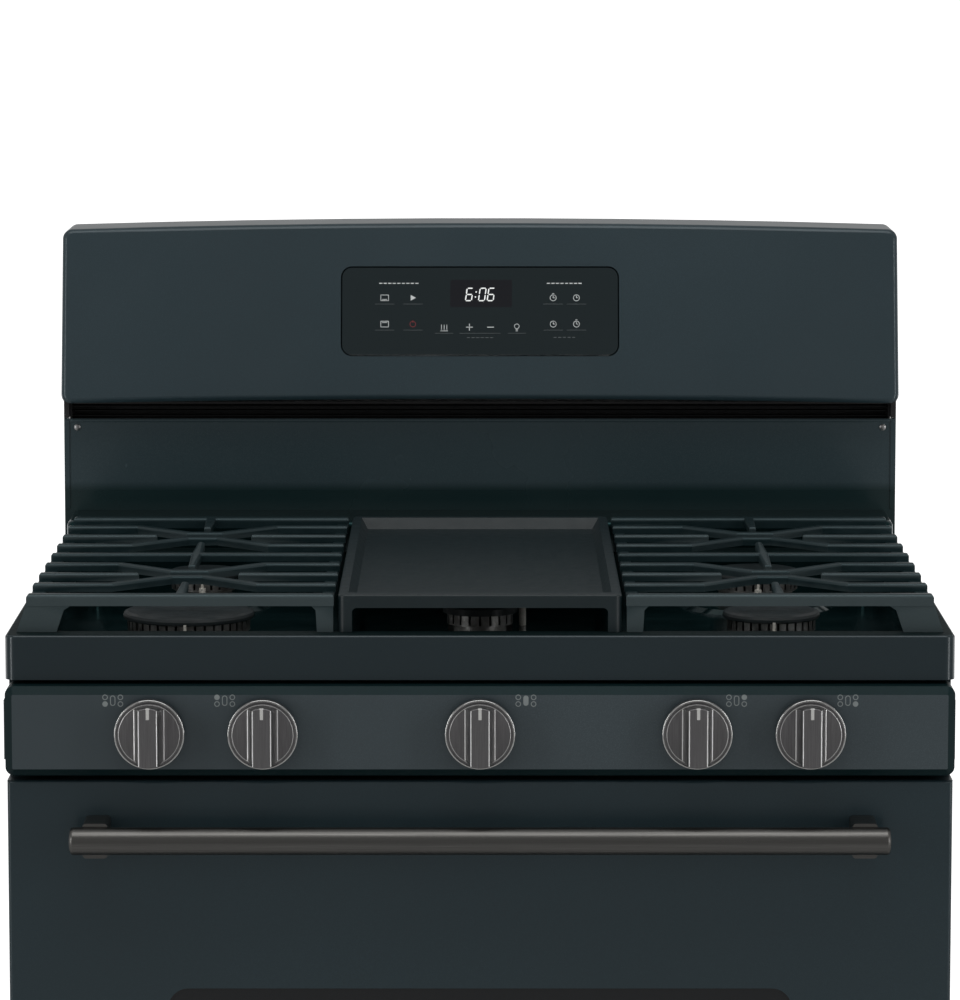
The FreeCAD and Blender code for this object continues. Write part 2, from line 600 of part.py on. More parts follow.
def make_door():
    """The oven door: outer pan with a window, two glasses, inner liner, handle bar and its mounts."""
    half = f"({HALF} - 1)"
    x, z = (f"-{half}", half), (DOOR_BOTTOM, DOOR_TOP)
    outer, inner = door_shell("door", x, z, DOOR_Y, f"{DOOR_Y} + door_depth - 6", "sheet_metal")
    centre = f"({DOOR_BOTTOM} + door_tall * 0.47)"

    def window(shrink, y):
        wide, tall = f"(window_wide / 2 - {shrink})", f"(window_tall / 2 - {shrink})"
        made = box((f"-{wide}", wide), y, (f"{centre} - {tall}", f"{centre} + {tall}"))
        return made

    opening = rounded(window("0", (f"{DOOR_Y} - 5", f"{DOOR_Y} + 10")), "16", along("Y"))
    arm_slots = [hinge_space(sign, "hinge_arm / 2 + 1.5", "14", (f"{DOOR_Y} + sheet_metal + 0.2", f"{DOOR_Y} + 60"))
                 for sign in (-1, 1)]
    pins = [rod("X", (HINGE_Y, HINGE_Z), (f"{s} * hinge_span / 2 - 11", f"{s} * hinge_span / 2 + 11"),
                "hinge_pin + shaft_gap") for s in (-1, 1)]
    ears = []
    for sign in (-1, 1):
        for side in (-1, 1):
            inside = f"({sign} * hinge_span / 2 + {side} * (hinge_arm / 2 + 1.5))"
            outside = f"({inside} + {side} * 4)"
            low, high = (inside, outside) if side > 0 else (outside, inside)
            ears.append(box((low, high), (f"{DOOR_Y} + sheet_metal - 0.5", f"{DOOR_Y} + door_depth - 8"),
                            (f"{DOOR_BOTTOM} + 0.5", f"{HINGE_Z} + 16")))
    skin = fuse(cut(outer, inner, opening), *ears)
    node("door_panel", cut(skin, *arm_slots, *pins))

    glass = window("-glass_lap", (f"{DOOR_Y} + sheet_metal + part_gap",
                                  f"{DOOR_Y} + sheet_metal + part_gap + glass_thick"))
    node("door_glass", rounded(glass, "16", along("Y")))

    inset = f"({half} - sheet_metal - 2 * part_gap)"
    back = f"({DOOR_Y} + door_depth)"
    liner_z = (f"{DOOR_BOTTOM} + 2 * sheet_metal", f"{DOOR_TOP} - 2 * sheet_metal")
    liner = cut(
        box((f"-{inset}", inset), (f"{back} - 5.4", back), liner_z),
        box((f"-({inset} - 2)", f"{inset} - 2"), (f"{back} - 12", f"{back} - 2"),
            (f"{liner_z[0]} + 2", f"{liner_z[1]} - 2")),
        rounded(window("30", (f"{back} - 10", f"{back} + 5")), "12", along("Y")),
        *[hinge_space(sign, "hinge_arm / 2 + 1.5", "14", (f"{back} - 20", f"{back} + 5")) for sign in (-1, 1)])
    node("door_liner", liner)
    inner_y = (f"{back} - 2 - part_gap - glass_thick", f"{back} - 2 - part_gap")
    node("door_inner_glass", rounded(window("10", inner_y), "12", along("Y")))

    bar_y, bar_z = "(-overall_depth / 2 + handle_radius)", f"({DOOR_TOP} - handle_drop)"
    bar = rod("X", (bar_y, bar_z), ("-handle_length / 2", "handle_length / 2"), "handle_radius")
    bar = rounded(bar, "3", lambda edge: edge.Curve.TypeId == "Part::GeomCircle")
    node("door_handle", bar)
    mounts = []
    for sign in (-1, 1):
        x = f"({sign} * (handle_length / 2 - mount_wide))"
        block = box((f"{x} - mount_wide / 2", f"{x} + mount_wide / 2"), (bar_y, f"{DOOR_Y} - part_gap"),
                    (f"{bar_z} - handle_radius - 3", f"{bar_z} + handle_radius + 3"))
        block = rounded(block, "3", along("Y"))
        groove = rod("X", (bar_y, bar_z), (f"{x} - mount_wide", f"{x} + mount_wide"),
                     "handle_radius + shaft_gap")
        mounts.append(cut(block, groove))
    node("handle_mounts", group(*mounts))


# ---------------------------------------------------------------- storage drawer

def make_drawer():
    """The storage drawer's front pan and its open tray."""
    half = f"({HALF} - 1)"
    x, z = (f"-{half}", half), ("drawer_bottom", DRAWER_TOP)
    outer, inner = door_shell("drawer", x, z, DOOR_Y, f"{DOOR_Y} + drawer_front_depth", "sheet_metal")
    finger = rounded(box(("-150", "150"), (f"{DOOR_Y} - 5", f"{DOOR_Y} + 14"),
                         (f"{DRAWER_TOP} - 12", f"{DRAWER_TOP} + 5")), "5", along("Y"))
    node("drawer_front", cut(outer, inner, finger))
    side = "(drawer_inner_width / 2)"
    front = f"({DOOR_Y} + drawer_front_depth + part_gap)"
    low, rest = "(leg_height + base_rail + 1.2)", "(leg_height + base_rail + runner_tall + part_gap)"
    tray = cut(
        box((f"-{side}", side), (front, f"{front} + drawer_box_depth"), (low, f"{low} + drawer_box_tall")),
        box((f"-{side} + sheet_metal", f"{side} - sheet_metal"),
            (f"{front} + sheet_metal", f"{front} + drawer_box_depth - sheet_metal"),
            (f"{low} + sheet_metal", f"{low} + drawer_box_tall + 5")))
    flanges = [box((f"{s} * ({side} + runner_wide / 2) - runner_wide / 2",
                    f"{s} * ({side} + runner_wide / 2) + runner_wide / 2"),
                   (front, f"{front} + drawer_box_depth"), (rest, f"{rest} + sheet_metal"))
               for s in (-1, 1)]
    node("drawer_box", fuse(tray, *flanges))


# ---------------------------------------------------------------- control panel, valves and knobs

def make_control_panel():
    """The bevelled panel that carries the knobs, with a clearance hole for each valve stem."""
    half, skin = "(body_width / 2)", "panel_skin"
    y_back = f"{FRAME_Y} - part_gap"

    def pan(inset, bevel, back):
        made = box((f"-{half} + ({inset})", f"{half} - ({inset})"), (f"{PANEL_Y} + ({inset})", back),
                   (f"{PANEL_BOTTOM} + ({inset})", f"{PANEL_TOP} - ({inset})"))
        made = rounded(made, f"panel_corner - ({inset})", along("Y"))
        return rounded(made, bevel, at_level("Y", f"{PANEL_Y} + ({inset})"), "Part::Chamfer")

    shell = cut(pan("0", "panel_bevel", y_back), pan(skin, "panel_bevel - 1.6", f"{y_back} + 10"))
    tabs = [box((f"{s} * {half} - sheet_metal", f"{s} * {half} + 0.8"),
                (f"{PANEL_Y} + 12", y_back), (f"{PANEL_BOTTOM} + 12", f"{PANEL_TOP} - 12"))
            for s in (-1, 1)]
    holes = [rod("Y", (x, KNOB_Z), (f"{PANEL_Y} - 5", f"{PANEL_Y} + 8"), "stem_radius + 2.5")
             for x in KNOBS.values()]
    hollow = box((f"-{half} + {skin}", f"{half} - {skin}"), (f"{PANEL_Y} + 12", f"{y_back} + 1"),
                 (f"{PANEL_BOTTOM} + 11", f"{PANEL_TOP} - 11"))
    node("control_panel", cut(fuse(shell, *tabs), hollow, *holes))


def stem_profile(radius, flat, y_front, y_back, x):
    """A shaft along Y with one flat on its upper side."""
    shaft = rod("Y", (x, KNOB_Z), (y_front, y_back), radius)
    off = box((f"{x} - 10", f"{x} + 10"), (f"{y_front} - 1", f"{y_back} + 1"),
              (f"{KNOB_Z} + {flat}", f"{KNOB_Z} + 20"))
    return cut(shaft, off)


def make_valves_and_stems():
    """Five burner valves on the manifold, and the D-shaped stem of each."""
    front, back = f"({PANEL_Y} + 21)", f"({PANEL_Y} + 49)"
    bodies = []
    for name, x in KNOBS.items():
        side = "(valve_side / 2)"
        block = box((f"{x} - {side}", f"{x} + {side}"), (f"{front} + 7", back),
                    (f"{KNOB_Z} - {side}", f"{KNOB_Z} + {side}"))
        block = rounded(block, "3", along("Y"))
        boss = rod("Y", (x, KNOB_Z), (front, back), "9")
        bore = rod("Y", (x, KNOB_Z), (f"{front} - 1", f"{front} + 19"), "stem_radius + 1.5 + shaft_gap")
        bodies.append(cut(fuse(block, boss), bore))
        plug = rod("Y", (x, KNOB_Z), (f"{front} + 2", f"{front} + 18"), "stem_radius + 1.5")
        shaft = stem_profile("stem_radius", "stem_flat", f"{PANEL_Y} - 20", f"{front} + 3", x)
        node(f"valve_stem_{name}", fuse(plug, shaft))
    node("gas_valves", group(*bodies))


def make_gas_manifold():
    """The valve rail across the front, with the supply pipe down to the regulator."""
    y, z = number(f"{PANEL_Y} + 49 + part_gap + manifold_radius"), number(KNOB_Z)
    side = number(f"{HALF} - 26")
    back = number(f"{BACK} - 75")
    low = number("inlet_z")
    start = Vector(number("-knob_outer_x") - 30, y, z)
    points = [start, Vector(side, y, z), Vector(side, back, z), Vector(side, back, low),
              Vector(number("inlet_x") + 30.3, back, low)]
    node("gas_manifold", solid_of("gas_manifold", pipe(points, number("manifold_radius"), 24.0)))


def make_gas_tubes():
    """An aluminium tube from each valve to its burner's jet, under the cooktop."""
    tubes = []
    targets = {name: (x, y) for name, (x, y, cap, ports) in BURNERS.items()}
    targets["centre"] = ("0", f"({CENTRE_BURNER_Y})")
    start_y = f"{PANEL_Y} + 38"
    for name, knob_x in KNOBS.items():
        x, y = targets[name]
        top = number(f"{WELL_Z} - 22")
        first = point(knob_x, start_y, f"{KNOB_Z} + valve_side / 2 + part_gap")
        rise = Vector(first.x, first.y, top)
        under = Vector(number(x), number(y), top)
        end = Vector(under.x, under.y, top + 8)
        tubes.append(solid_of("gas_tube_" + name, pipe([first, rise, under, end], number("tube_radius"), 7.0)))
    node("gas_tubes", group(*tubes))


def make_regulator():
    """The pressure regulator, with its threaded inlet facing the wall."""
    y_front, y_back = f"({BACK} - 100)", f"({BACK} - 45)"
    case = box(("inlet_x - 30", "inlet_x + 30"), (y_front, y_back), ("inlet_z - 26", "inlet_z + 26"))
    case = rounded(case, "7", along("Y"))
    dome = rod("Z", ("inlet_x", f"({y_front} + {y_back}) / 2"), ("inlet_z + 25", "inlet_z + 48"), "22")
    dome = rounded(dome, "5", at_level("Z", "inlet_z + 48"))
    neck = rod("Y", ("inlet_x", "inlet_z"), (f"{y_back} - 1", f"{BACK} - 2"), "inlet_radius + 5")
    bore = rod("Y", ("inlet_x", "inlet_z"), (f"{BACK} - 24", f"{BACK} + 2"), "inlet_radius")
    node("gas_regulator", cut(fuse(case, dome, neck), bore))


def make_knobs():
    """Five push-and-turn knobs: a skirt with a raised rim, a drum, and a tapered grip across it."""
    for name, x in KNOBS.items():
        back = f"({PANEL_Y} - knob_gap)"
        rim, front = f"({back} - knob_skirt)", f"({back} - knob_deep)"
        drum = "(knob_radius - knob_rim - knob_groove)"
        skirt = rod("Y", (x, KNOB_Z), (rim, back), "knob_radius")
        skirt = rounded(skirt, "0.8", at_level("Y", rim))
        groove = cut(rod("Y", (x, KNOB_Z), (f"{rim} - 1", f"{rim} + 1.2"), "knob_radius - knob_rim"),
                     rod("Y", (x, KNOB_Z), (f"{rim} - 2", f"{rim} + 3"), drum))
        outline = [
            (f"{x} - grip_base / 2", f"{rim} + 2"), (f"{x} - grip_base / 2", rim),
            (f"{x} - grip_wide / 2", front), (f"{x} + grip_wide / 2", front),
            (f"{x} + grip_base / 2", rim), (f"{x} + grip_base / 2", f"{rim} + 2"),
        ]
        bar = pad(f"grip_{name}", "XY_Plane", outline, (f"{KNOB_Z} - knob_radius", f"{KNOB_Z} + knob_radius"))
        grip = common(bar, rod("Y", (x, KNOB_Z), (f"{front} - 1", f"{rim} + 2"), drum))
        level = number(front)
        grip = rounded(grip, "0.9", lambda edge: abs(edge.BoundBox.YMin - level) < 0.01)
        bore = stem_profile("(stem_radius + shaft_gap)", "(stem_flat + shaft_gap)",
                            f"{PANEL_Y} - 24.5", f"{back} + 1", x)
        node(f"knob_{name}", cut(fuse(cut(skirt, groove), grip), bore))


# ---------------------------------------------------------------- cooktop and burners

def make_cooktop():
    """The enamelled cooktop: a pan with skirts and a deep well, and the raised ledge cover behind it."""
    half = "(cooktop_width / 2)"

    def block(inset, low, high, back=SPLASH_Y):
        made = box((f"-{half} + ({inset})", f"{half} - ({inset})"), (f"{RAIL_Y} + ({inset})", f"{back} - ({inset})"),
                   (low, high))
        return rounded(made, f"corner_round - ({inset})", along("Z"))

    def well(grow, floor):
        made = box((f"-({half} - rim_side + ({grow}))", f"{half} - rim_side + ({grow})"),
                   (f"{RAIL_Y} + rim_front - ({grow})", f"{SPLASH_Y} - ledge_deep - rim_rear + ({grow})"),
                   (floor, f"{LEDGE_Z} + 5"))
        return rounded(made, f"26 + ({grow})", along("Z"))

    def ledge(inset, low):
        side, rear = f"({half} - ledge_inset - ({inset}))", f"{SPLASH_Y} - ({inset})"
        made = box((f"-{side}", side), (f"{SPLASH_Y} - ledge_deep + ({inset})", rear), (low, f"{LEDGE_Z} - ({inset})"))
        upright, upper, limit = along("Z"), at_level("Z", f"{LEDGE_Z} - ({inset})"), number(rear) - 1
        made = rounded(made, f"ledge_round + 3 - ({inset})", lambda e: upright(e) and e.BoundBox.YMax < limit)
        return rounded(made, f"ledge_round - ({inset})", lambda e: upper(e) and e.BoundBox.YMin < limit)

    def pads(shrink, floor):
        made = []
        for x, y, cap, ports in BURNERS.values():
            made.append(doc.addObject("Part::Cone", "pad"))
            bind(made[-1], Radius1=f"{cap} + 30 - {shrink}", Radius2=f"{cap} + 22 - {shrink}", Height="pad_rise + 1")
            bind(made[-1], Placement__Base__x=x, Placement__Base__y=y, Placement__Base__z=f"{floor} - 1")
        return made

    outer = cut(fuse(block("0", RAIL_BOTTOM, "cooktop_height"), ledge("0", RAIL_BOTTOM)), well("0", WELL_Z))
    level = at_level("Z", "cooktop_height")
    outer = rounded(outer, "2.6", lambda e: level(e) and e.BoundBox.YMax < number(f"{SPLASH_Y} - ledge_deep - 1"))
    outer = fuse(outer, *pads("0", WELL_Z))
    wall = "top_wall"
    lower = f"({WELL_Z} - {wall})"
    under = cut(fuse(block(wall, f"{RAIL_BOTTOM} - 5", f"cooktop_height - {wall}"), ledge(wall, f"{RAIL_BOTTOM} - 5")),
                well(wall, lower))
    under = fuse(under, *pads("1.5", lower))
    holes = [rod("Z", (x, y), (f"{lower} - 5", f"{LEDGE_Z}"), "throat_radius + 1")
             for x, y, cap, ports in BURNERS.values()]
    holes.append(rod("Z", ("0", CENTRE_BURNER_Y), (f"{lower} - 5", LEDGE_Z), "throat_radius + 1"))
    sheet = cut(outer, under, *holes)
    x, y = (f"-{half} - 10", f"{half} + 10"), (f"{RAIL_Y} - 10", f"{SPLASH_Y} + 10")
    pan = cut(sheet, box(x, y, ("cooktop_height", f"{LEDGE_Z} + 10")))
    cover = cut(sheet, box(x, y, (f"{RAIL_BOTTOM} - 10", "cooktop_height + part_gap")))
    node("cooktop", group(pan, cover))


def make_round_burner(name, x, y, cap, ports):
    """A die-cast head with slotted flame ports, and the enamelled cap that lifts off it."""
    base = f"({WELL_Z} + pad_rise + part_gap)"
    top = f"({base} + head_tall)"
    flange, crown, throat = f"({cap} - 2)", f"({cap} - head_setback)", "throat_radius"
    outline = [
        ("throat_bore", f"{base} - 19"), (throat, f"{base} - 19"), (throat, base), (flange, base),
        (flange, f"{base} + 2.5"), (f"{cap} - 8", f"{base} + 5"), (f"{cap} - 8", f"{top} - port_tall - 4"),
        (crown, f"{top} - port_tall - 1.5"), (crown, top), (f"{cap} - 16", top),
        (f"{cap} - 16", f"{top} - port_tall"), ("throat_bore", f"{top} - port_tall"),
    ]
    head = revolve(f"head_{name}", outline, x, y)
    slots = []
    for k in range(ports):
        slot = doc.addObject("Part::Box", "port")
        slot.Placement = Placement(Vector(), Rotation(Vector(0, 0, 1), 360.0 * k / ports))
        bind(slot, Length="18", Width="port_wide", Height="port_tall + 1")
        angle = 2 * math.pi * k / ports
        c, s = math.cos(angle), math.sin(angle)
        bind(slot, Placement__Base__x=f"{x} + ({cap} - 19) * {c:.6f} + port_wide / 2 * {s:.6f}",
             Placement__Base__y=f"{y} + ({cap} - 19) * {s:.6f} - port_wide / 2 * {c:.6f}",
             Placement__Base__z=f"{top} - port_tall")
        slots.append(slot)
    node(f"burner_head_{name}", cut(head, *slots))
    rim = f"({top} + part_gap)"
    outline = [
        ("0", f"{rim} - 4"), (f"{cap} - 17", f"{rim} - 4"), (f"{cap} - 17", rim), (f"{cap} - 1", rim),
        (cap, f"{rim} + 1"), (cap, f"{rim} + cap_thick - 4"), (f"{cap} - 1", f"{rim} + cap_thick - 2"),
        (f"{cap} - 4", f"{rim} + cap_thick - 0.6"), (f"{cap} - 10", f"{rim} + cap_thick"),
        ("0", f"{rim} + cap_thick"),
    ]
    node(f"burner_cap_{name}", revolve(f"cap_{name}", outline, x, y))


def make_oval_burner():
    """The centre burner's long head with ports down both sides, and its cap."""
    base = number(f"{WELL_Z} + part_gap")
    top = base + number("head_tall")
    y, reach = number(CENTRE_BURNER_Y), number("(oval_length - oval_wide) / 2")
    wide = number("oval_wide")
    p, q = Vector(0, y - reach, 0), Vector(0, y + reach, 0)
    port, tall = number("port_wide"), number("port_tall")
    head = stadium(p, q, wide - 8, base, base + 2.5).fuse([
        stadium(p, q, wide - 18, base + 2, top), stadium(p, q, wide - 2 * number("head_setback"), top - tall - 1, top)])
    throat = Part.makeCylinder(number("throat_radius"), 16.5, Vector(0, y, base - 16))
    bore = Part.makeCylinder(number("throat_bore"), 60, Vector(0, y, base - 30))
    head = head.fuse(throat).cut([stadium(p, q, wide - 32, top - tall, top + 5), bore])
    slots = []
    for k in range(19):
        place = p.y + (q.y - p.y) * k / 18
        slots.append(Part.makeBox(wide, port, tall + 1, Vector(-wide / 2, place - port / 2, top - tall)))
    for end in (p.y, q.y):
        for k in range(1, 10):
            slot = Part.makeBox(18, port, tall + 1, Vector(wide / 2 - 19, -port / 2, top - tall))
            turn = 18.0 * k + (180 if end == p.y else 0)
            slot.Placement = Placement(Vector(0, end, 0), Rotation(Vector(0, 0, 1), turn))
            slots.append(slot)
    node("burner_head_centre", solid_of("burner_head_centre", head.cut(slots).removeSplitter()))
    rim = top + number("part_gap")
    cap = stadium(p, q, wide, rim, rim + number("cap_thick"), 2.5)
    cap = cap.fuse(stadium(p, q, wide - 34, rim - 4, rim + 1)).removeSplitter()
    node("burner_cap_centre", solid_of("burner_cap_centre", cap))


def make_burners():
    for name, (x, y, cap, ports) in BURNERS.items():
        make_round_burner(name, x, y, cap, ports)
    make_oval_burner()


def make_igniters():
    """A ceramic electrode in front of each round burner head, and one beside the centre head."""
    places = [((x, f"{y} - ({cap} + 4)"), "pad_rise") for x, y, cap, ports in BURNERS.values()]
    places.append((("oval_wide / 2 + 5", CENTRE_BURNER_Y), "0"))
    made = []
    for place, rise in places:
        low = f"{WELL_Z} + {rise} + part_gap"
        base = rod("Z", place, (low, f"{low} + head_tall - 5"), "3")
        made.append(fuse(base, rod("Z", place, (f"{low} + head_tall - 6", f"{low} + head_tall + 2"), "1.2")))
    node("igniters", group(*made))


# ---------------------------------------------------------------- grates and griddle

def ribbon(points, width, low, high, edge):
    """A bar of constant width along a level line of points, with its top edges rounded."""
    lines = [(b - a).normalize() for a, b in zip(points, points[1:])]
    sides = []
    for i, place in enumerate(points):
        before, after = lines[max(i - 1, 0)], lines[min(i, len(lines) - 1)]
        across = (Vector(-before.y, before.x, 0) + Vector(-after.y, after.x, 0)).normalize()
        half = width / 2 / math.cos(before.getAngle(after) / 2)
        sides.append((place + across * half, place - across * half))
    loop = [pair[0] for pair in sides] + [pair[1] for pair in reversed(sides)]
    face = Part.Face(Part.makePolygon(loop + loop[:1]))
    face.translate(Vector(0, 0, low))
    solid = face.extrude(Vector(0, 0, high - low))
    return solid.makeFillet(edge, [e for e in solid.Edges if min(v.Z for v in e.Vertexes) > high - 0.01])


def taper(start, end, wide, narrow, low, high, edge):
    """A straight bar that narrows from start to end, with its top edges rounded."""
    along_bar = (end - start).normalize()
    across = Vector(-along_bar.y, along_bar.x, 0)
    loop = [start + across * (wide / 2), end + across * (narrow / 2), end - across * (narrow / 2),
            start - across * (wide / 2)]
    face = Part.Face(Part.makePolygon(loop + loop[:1]))
    face.translate(Vector(0, 0, low))
    solid = face.extrude(Vector(0, 0, high - low))
    return solid.makeFillet(edge, [e for e in solid.Edges if min(v.Z for v in e.Vertexes) > high - 0.01])


def leg_plate(corners, y, thick):
    """An upright plate, given its corners in the XZ plane."""
    wire = Part.makePolygon([Vector(x, y, z) for x, z in corners + corners[:1]])
    return Part.Face(wire).extrude(Vector(0, thick, 0))


def grate_shape():
    """The left grate. Nine rows run across it; four bend in to cross over the two burners."""
    top, base = number(GRATE_Z), number("cooktop_height + part_gap")
    inner, outer, flare = -number("grate_inner"), -number("grate_outer"), number("flare")
    front, pitch = number(GRATE_Y), number(ROW_PITCH)
    back = front + 8 * pitch
    wide, tall, edge = number("bar_wide"), number("bar_tall"), number("bar_round")
    rail, burner = number("rail_bar"), -number("burner_x")
    low = top - tall
    left, right = outer + rail / 2, inner - rail / 2
    solids = []

    def bar(*places, width=wide, under=low, over=top, round_over=edge):
        solids.append(ribbon([Vector(x, y, 0) for x, y in places], width, under, over, round_over))

    def finger(x0, y0, x1, y1):
        solids.append(taper(Vector(x0, y0, 0), Vector(x1, y1, 0), wide, number("finger_tip"), low, top, edge))

    thick = rail - 1
    for y in (front, back):
        bar((outer, y), (inner, y), width=rail, under=top - 9.5, round_over=number("rail_round"))
        solids.append(leg_plate([
            (outer + 1, top - 5), (outer - flare, base), (outer + 24, base), (outer + 30, top - 13),
            (outer + 37, top - 8.5), (outer + 37, top - 5)], y - thick / 2, thick))
        solids.append(leg_plate([
            (inner - 0.5, top - 5), (inner - 0.5, base), (inner - 13.5, base), (inner - 14.5, top - 13),
            (inner - 19, top - 8.5), (inner - 19, top - 5)], y - thick / 2, thick))
    ends = (front - rail / 2 + 1, back + rail / 2 - 1)
    over = top - number("rail_drop")
    for x, under in ((left + 0.4, top - 14), (right - 0.4, top - 14.5)):
        bar((x, ends[0]), (x, ends[1]), width=rail, under=under, over=over)
    skirt = Part.makePolygon([
        Vector(x, front, z) for x, z in (
            (outer + 0.7, top - 6), (outer - 3, top - 18), (outer + 4, top - 18), (outer + 9, top - 6),
            (outer + 0.7, top - 6))])
    solids.append(Part.Face(skirt).extrude(Vector(0, back - front, 0)))

    spread, gather, close = number("bend_start"), number("bend_end"), number("bend_close")
    tip = number("side_finger")
    for row in (2, 6):
        middle = front + row * pitch
        for side in (-1, 1):
            y, near = middle + side * pitch, middle + side * close
            bar((outer, y), (burner - spread, y), (burner - gather, near),
                (burner + gather, near), (burner + spread, y), (inner, y))
        finger(outer, middle, burner - tip, middle)
        finger(inner, middle, burner + tip, middle)
    centre = front + 4 * pitch
    bar((outer, centre), (inner, centre))
    for side in (-1, 1):
        finger(burner, centre - side * 2, burner, centre + side * number("cross_finger"))
    finger(burner, front, burner, front + number("end_finger"))
    finger(burner, back, burner, back - number("end_finger"))
    for row in range(1, 8):
        y = front + row * pitch
        for x0, x1 in ((left, left + 24), (right - 13, right)):
            solids.append(Part.makeBox(x1 - x0, wide - 2, 5, Vector(x0, y - wide / 2 + 1, low - 3)))
    return solids[0].fuse(solids[1:]).removeSplitter()


def make_grates():
    left = grate_shape()
    node("grate_left", solid_of("grate_left", left))
    node("grate_right", solid_of("grate_right", left.mirror(Vector(), Vector(1, 0, 0))))


def make_griddle():
    """A cast griddle plate: a tray on a skirt with open ends, standing on its four corners."""
    half, top, base = "griddle_half", GRATE_Z, "(cooktop_height + part_gap)"
    front = f"({GRATE_Y} - rail_bar / 2)"
    back = f"({GRATE_Y} + grate_depth + rail_bar / 2)"
    body = box((f"-{half}", half), (front, back), (base, top))
    body = rounded(body, "6", along("Z"))
    body = rounded(body, "2.4", at_level("Z", top))
    lip, sink = "griddle_lip", f"({top} - griddle_sink)"
    tray = drafted_box((f"-{half} + {lip}", f"{half} - {lip}"), (f"{front} + {lip} + 3", f"{back} - {lip} - 3"),
                       (sink, top), "griddle_draft", "2")
    under = box((f"-{half} + {lip} - 2", f"{half} - {lip} + 2"), (f"{front} + {lip}", f"{back} - {lip}"),
                (f"{base} - 5", f"{sink} - griddle_floor"))
    ends = box((f"-{half} + 11", f"{half} - 11"), (f"{front} - 5", f"{back} + 5"), (f"{base} - 5", f"{top} - 11"))
    ends = rounded(ends, "4", lambda e: along("Y")(e) and e.BoundBox.ZMax > number(f"{top} - 12"))
    sides = box((f"-{half} - 5", f"{half} + 5"), (f"{front} + 40", f"{back} - 40"), (f"{base} - 5", f"{top} - 18"))
    node("griddle", cut(body, tray, under, ends, sides))


# ---------------------------------------------------------------- backguard

def make_backsplash():
    """The sheet behind the burners, with returns to the wall that carry the console."""
    half = "(cooktop_width / 2)"
    front, inner, back = f"({SPLASH_Y} + part_gap)", f"({HALF} + part_gap)", FLANGE_Y
    outline = [
        (f"-{half}", front), (half, front), (half, back), (inner, back),
        (inner, f"{front} + sheet_metal"), (f"-{inner}", f"{front} + sheet_metal"),
        (f"-{inner}", back), (f"-{half}", back),
    ]
    shell = pad("splash", "XY_Plane", outline, (RAIL_BOTTOM, "console_bottom - part_gap"))
    notch = box((f"-{inner}", inner), (f"{SPLASH_Y} - 5", f"{SPLASH_Y} + 10"), ("splash_top", "console_bottom + 5"))
    node("backsplash", cut(shell, notch))


def make_oven_vent():
    """The black outlet channel between the splash and the console."""
    half = "(cooktop_width / 2 - 5)"
    y = (f"{SPLASH_Y} + 6", f"{SPLASH_Y} + 40")
    z = ("splash_top - 12", "console_bottom - 1")
    channel = box((f"-{half}", half), y, z)
    mouth = box((f"-{half} + 2", f"{half} - 2"), (SPLASH_Y, f"{y[1]} - 2"), ("splash_top - 8", f"{z[1]} - 2"))
    node("oven_vent", cut(channel, mouth))


def console_solid(inset, bottom_drop):
    """The console's outer form, or its hollow when inset: a crowned outline met by a leaning section."""
    half = number("cooktop_width / 2") - inset
    bottom, top = number("console_bottom"), number("overall_height") - inset
    crown, arch, corner = number("crown"), number("arch"), number("console_corner") - inset
    y_bottom, lean = number(CONSOLE_Y), number("console_lean")
    back = number(BACK)
    foot = bottom + inset - bottom_drop
    shoulder = top - crown
    start_y = y_bottom - 60
    k = corner * (1 - math.sqrt(0.5))

    def p(x, z):
        return Vector(x, start_y, z)
    wire = Part.Wire([
        Part.Arc(p(-half + corner, shoulder), p(0, top), p(half - corner, shoulder)).toShape(),
        Part.Arc(p(half - corner, shoulder), p(half - k, shoulder - k), p(half, shoulder - corner)).toShape(),
        Part.LineSegment(p(half, shoulder - corner), p(half, foot + corner)).toShape(),
        Part.Arc(p(half, foot + corner), p(half - k, foot + k), p(half - corner, foot)).toShape(),
        Part.Arc(p(half - corner, foot), p(0, foot + arch), p(-half + corner, foot)).toShape(),
        Part.Arc(p(-half + corner, foot), p(-half + k, foot + k), p(-half, foot + corner)).toShape(),
        Part.LineSegment(p(-half, foot + corner), p(-half, shoulder - corner)).toShape(),
        Part.Arc(p(-half, shoulder - corner), p(-half + k, shoulder - k), p(-half + corner, shoulder)).toShape(),
    ])
    block = Part.Face(wire).extrude(Vector(0, back - start_y + 60, 0))
    rise = number("overall_height") - bottom
    slope = lean / rise
    run = inset * math.sqrt(1 + slope * slope)
    low, high = bottom - 30, number("overall_height") + 30
    section = Part.makePolygon([
        Vector(-half - 20, y_bottom + run - 30 * slope, low), Vector(-half - 20, y_bottom + run + (rise + 30) * slope, high),
        Vector(-half - 20, back - inset, high), Vector(-half - 20, back - inset, low),
        Vector(-half - 20, y_bottom + run - 30 * slope, low)])
    wedge = Part.Face(section).extrude(Vector(2 * half + 40, 0, 0))
    return block.common(wedge)


def console_face_place(x, up, out):
    """A placement on the console's leaning face: x across, up along the face, out from it."""
    slope = number("console_lean / (overall_height - console_bottom)")
    angle = math.atan(slope)
    origin = point("0", CONSOLE_Y, "console_bottom")
    along_face = Vector(0, math.sin(angle), math.cos(angle))
    normal = Vector(0, -math.cos(angle), math.sin(angle))
    place = origin + Vector(x, 0, 0) + along_face * up + normal * out
    return Placement(place, Rotation(Vector(1, 0, 0), -math.degrees(angle)))


def console_plate(wide, tall, thick, out, corner):
    """A plate on the console's face, round-cornered, centred on the touch glass."""
    plate = Part.makeBox(wide, thick, tall, Vector(-wide / 2, 0, -tall / 2))
    plate = plate.makeFillet(corner, [e for e in plate.Edges if abs(e.Length - thick) < 0.001])
    plate.Placement = console_face_place(0, number("glass_rise"), out)
    return plate


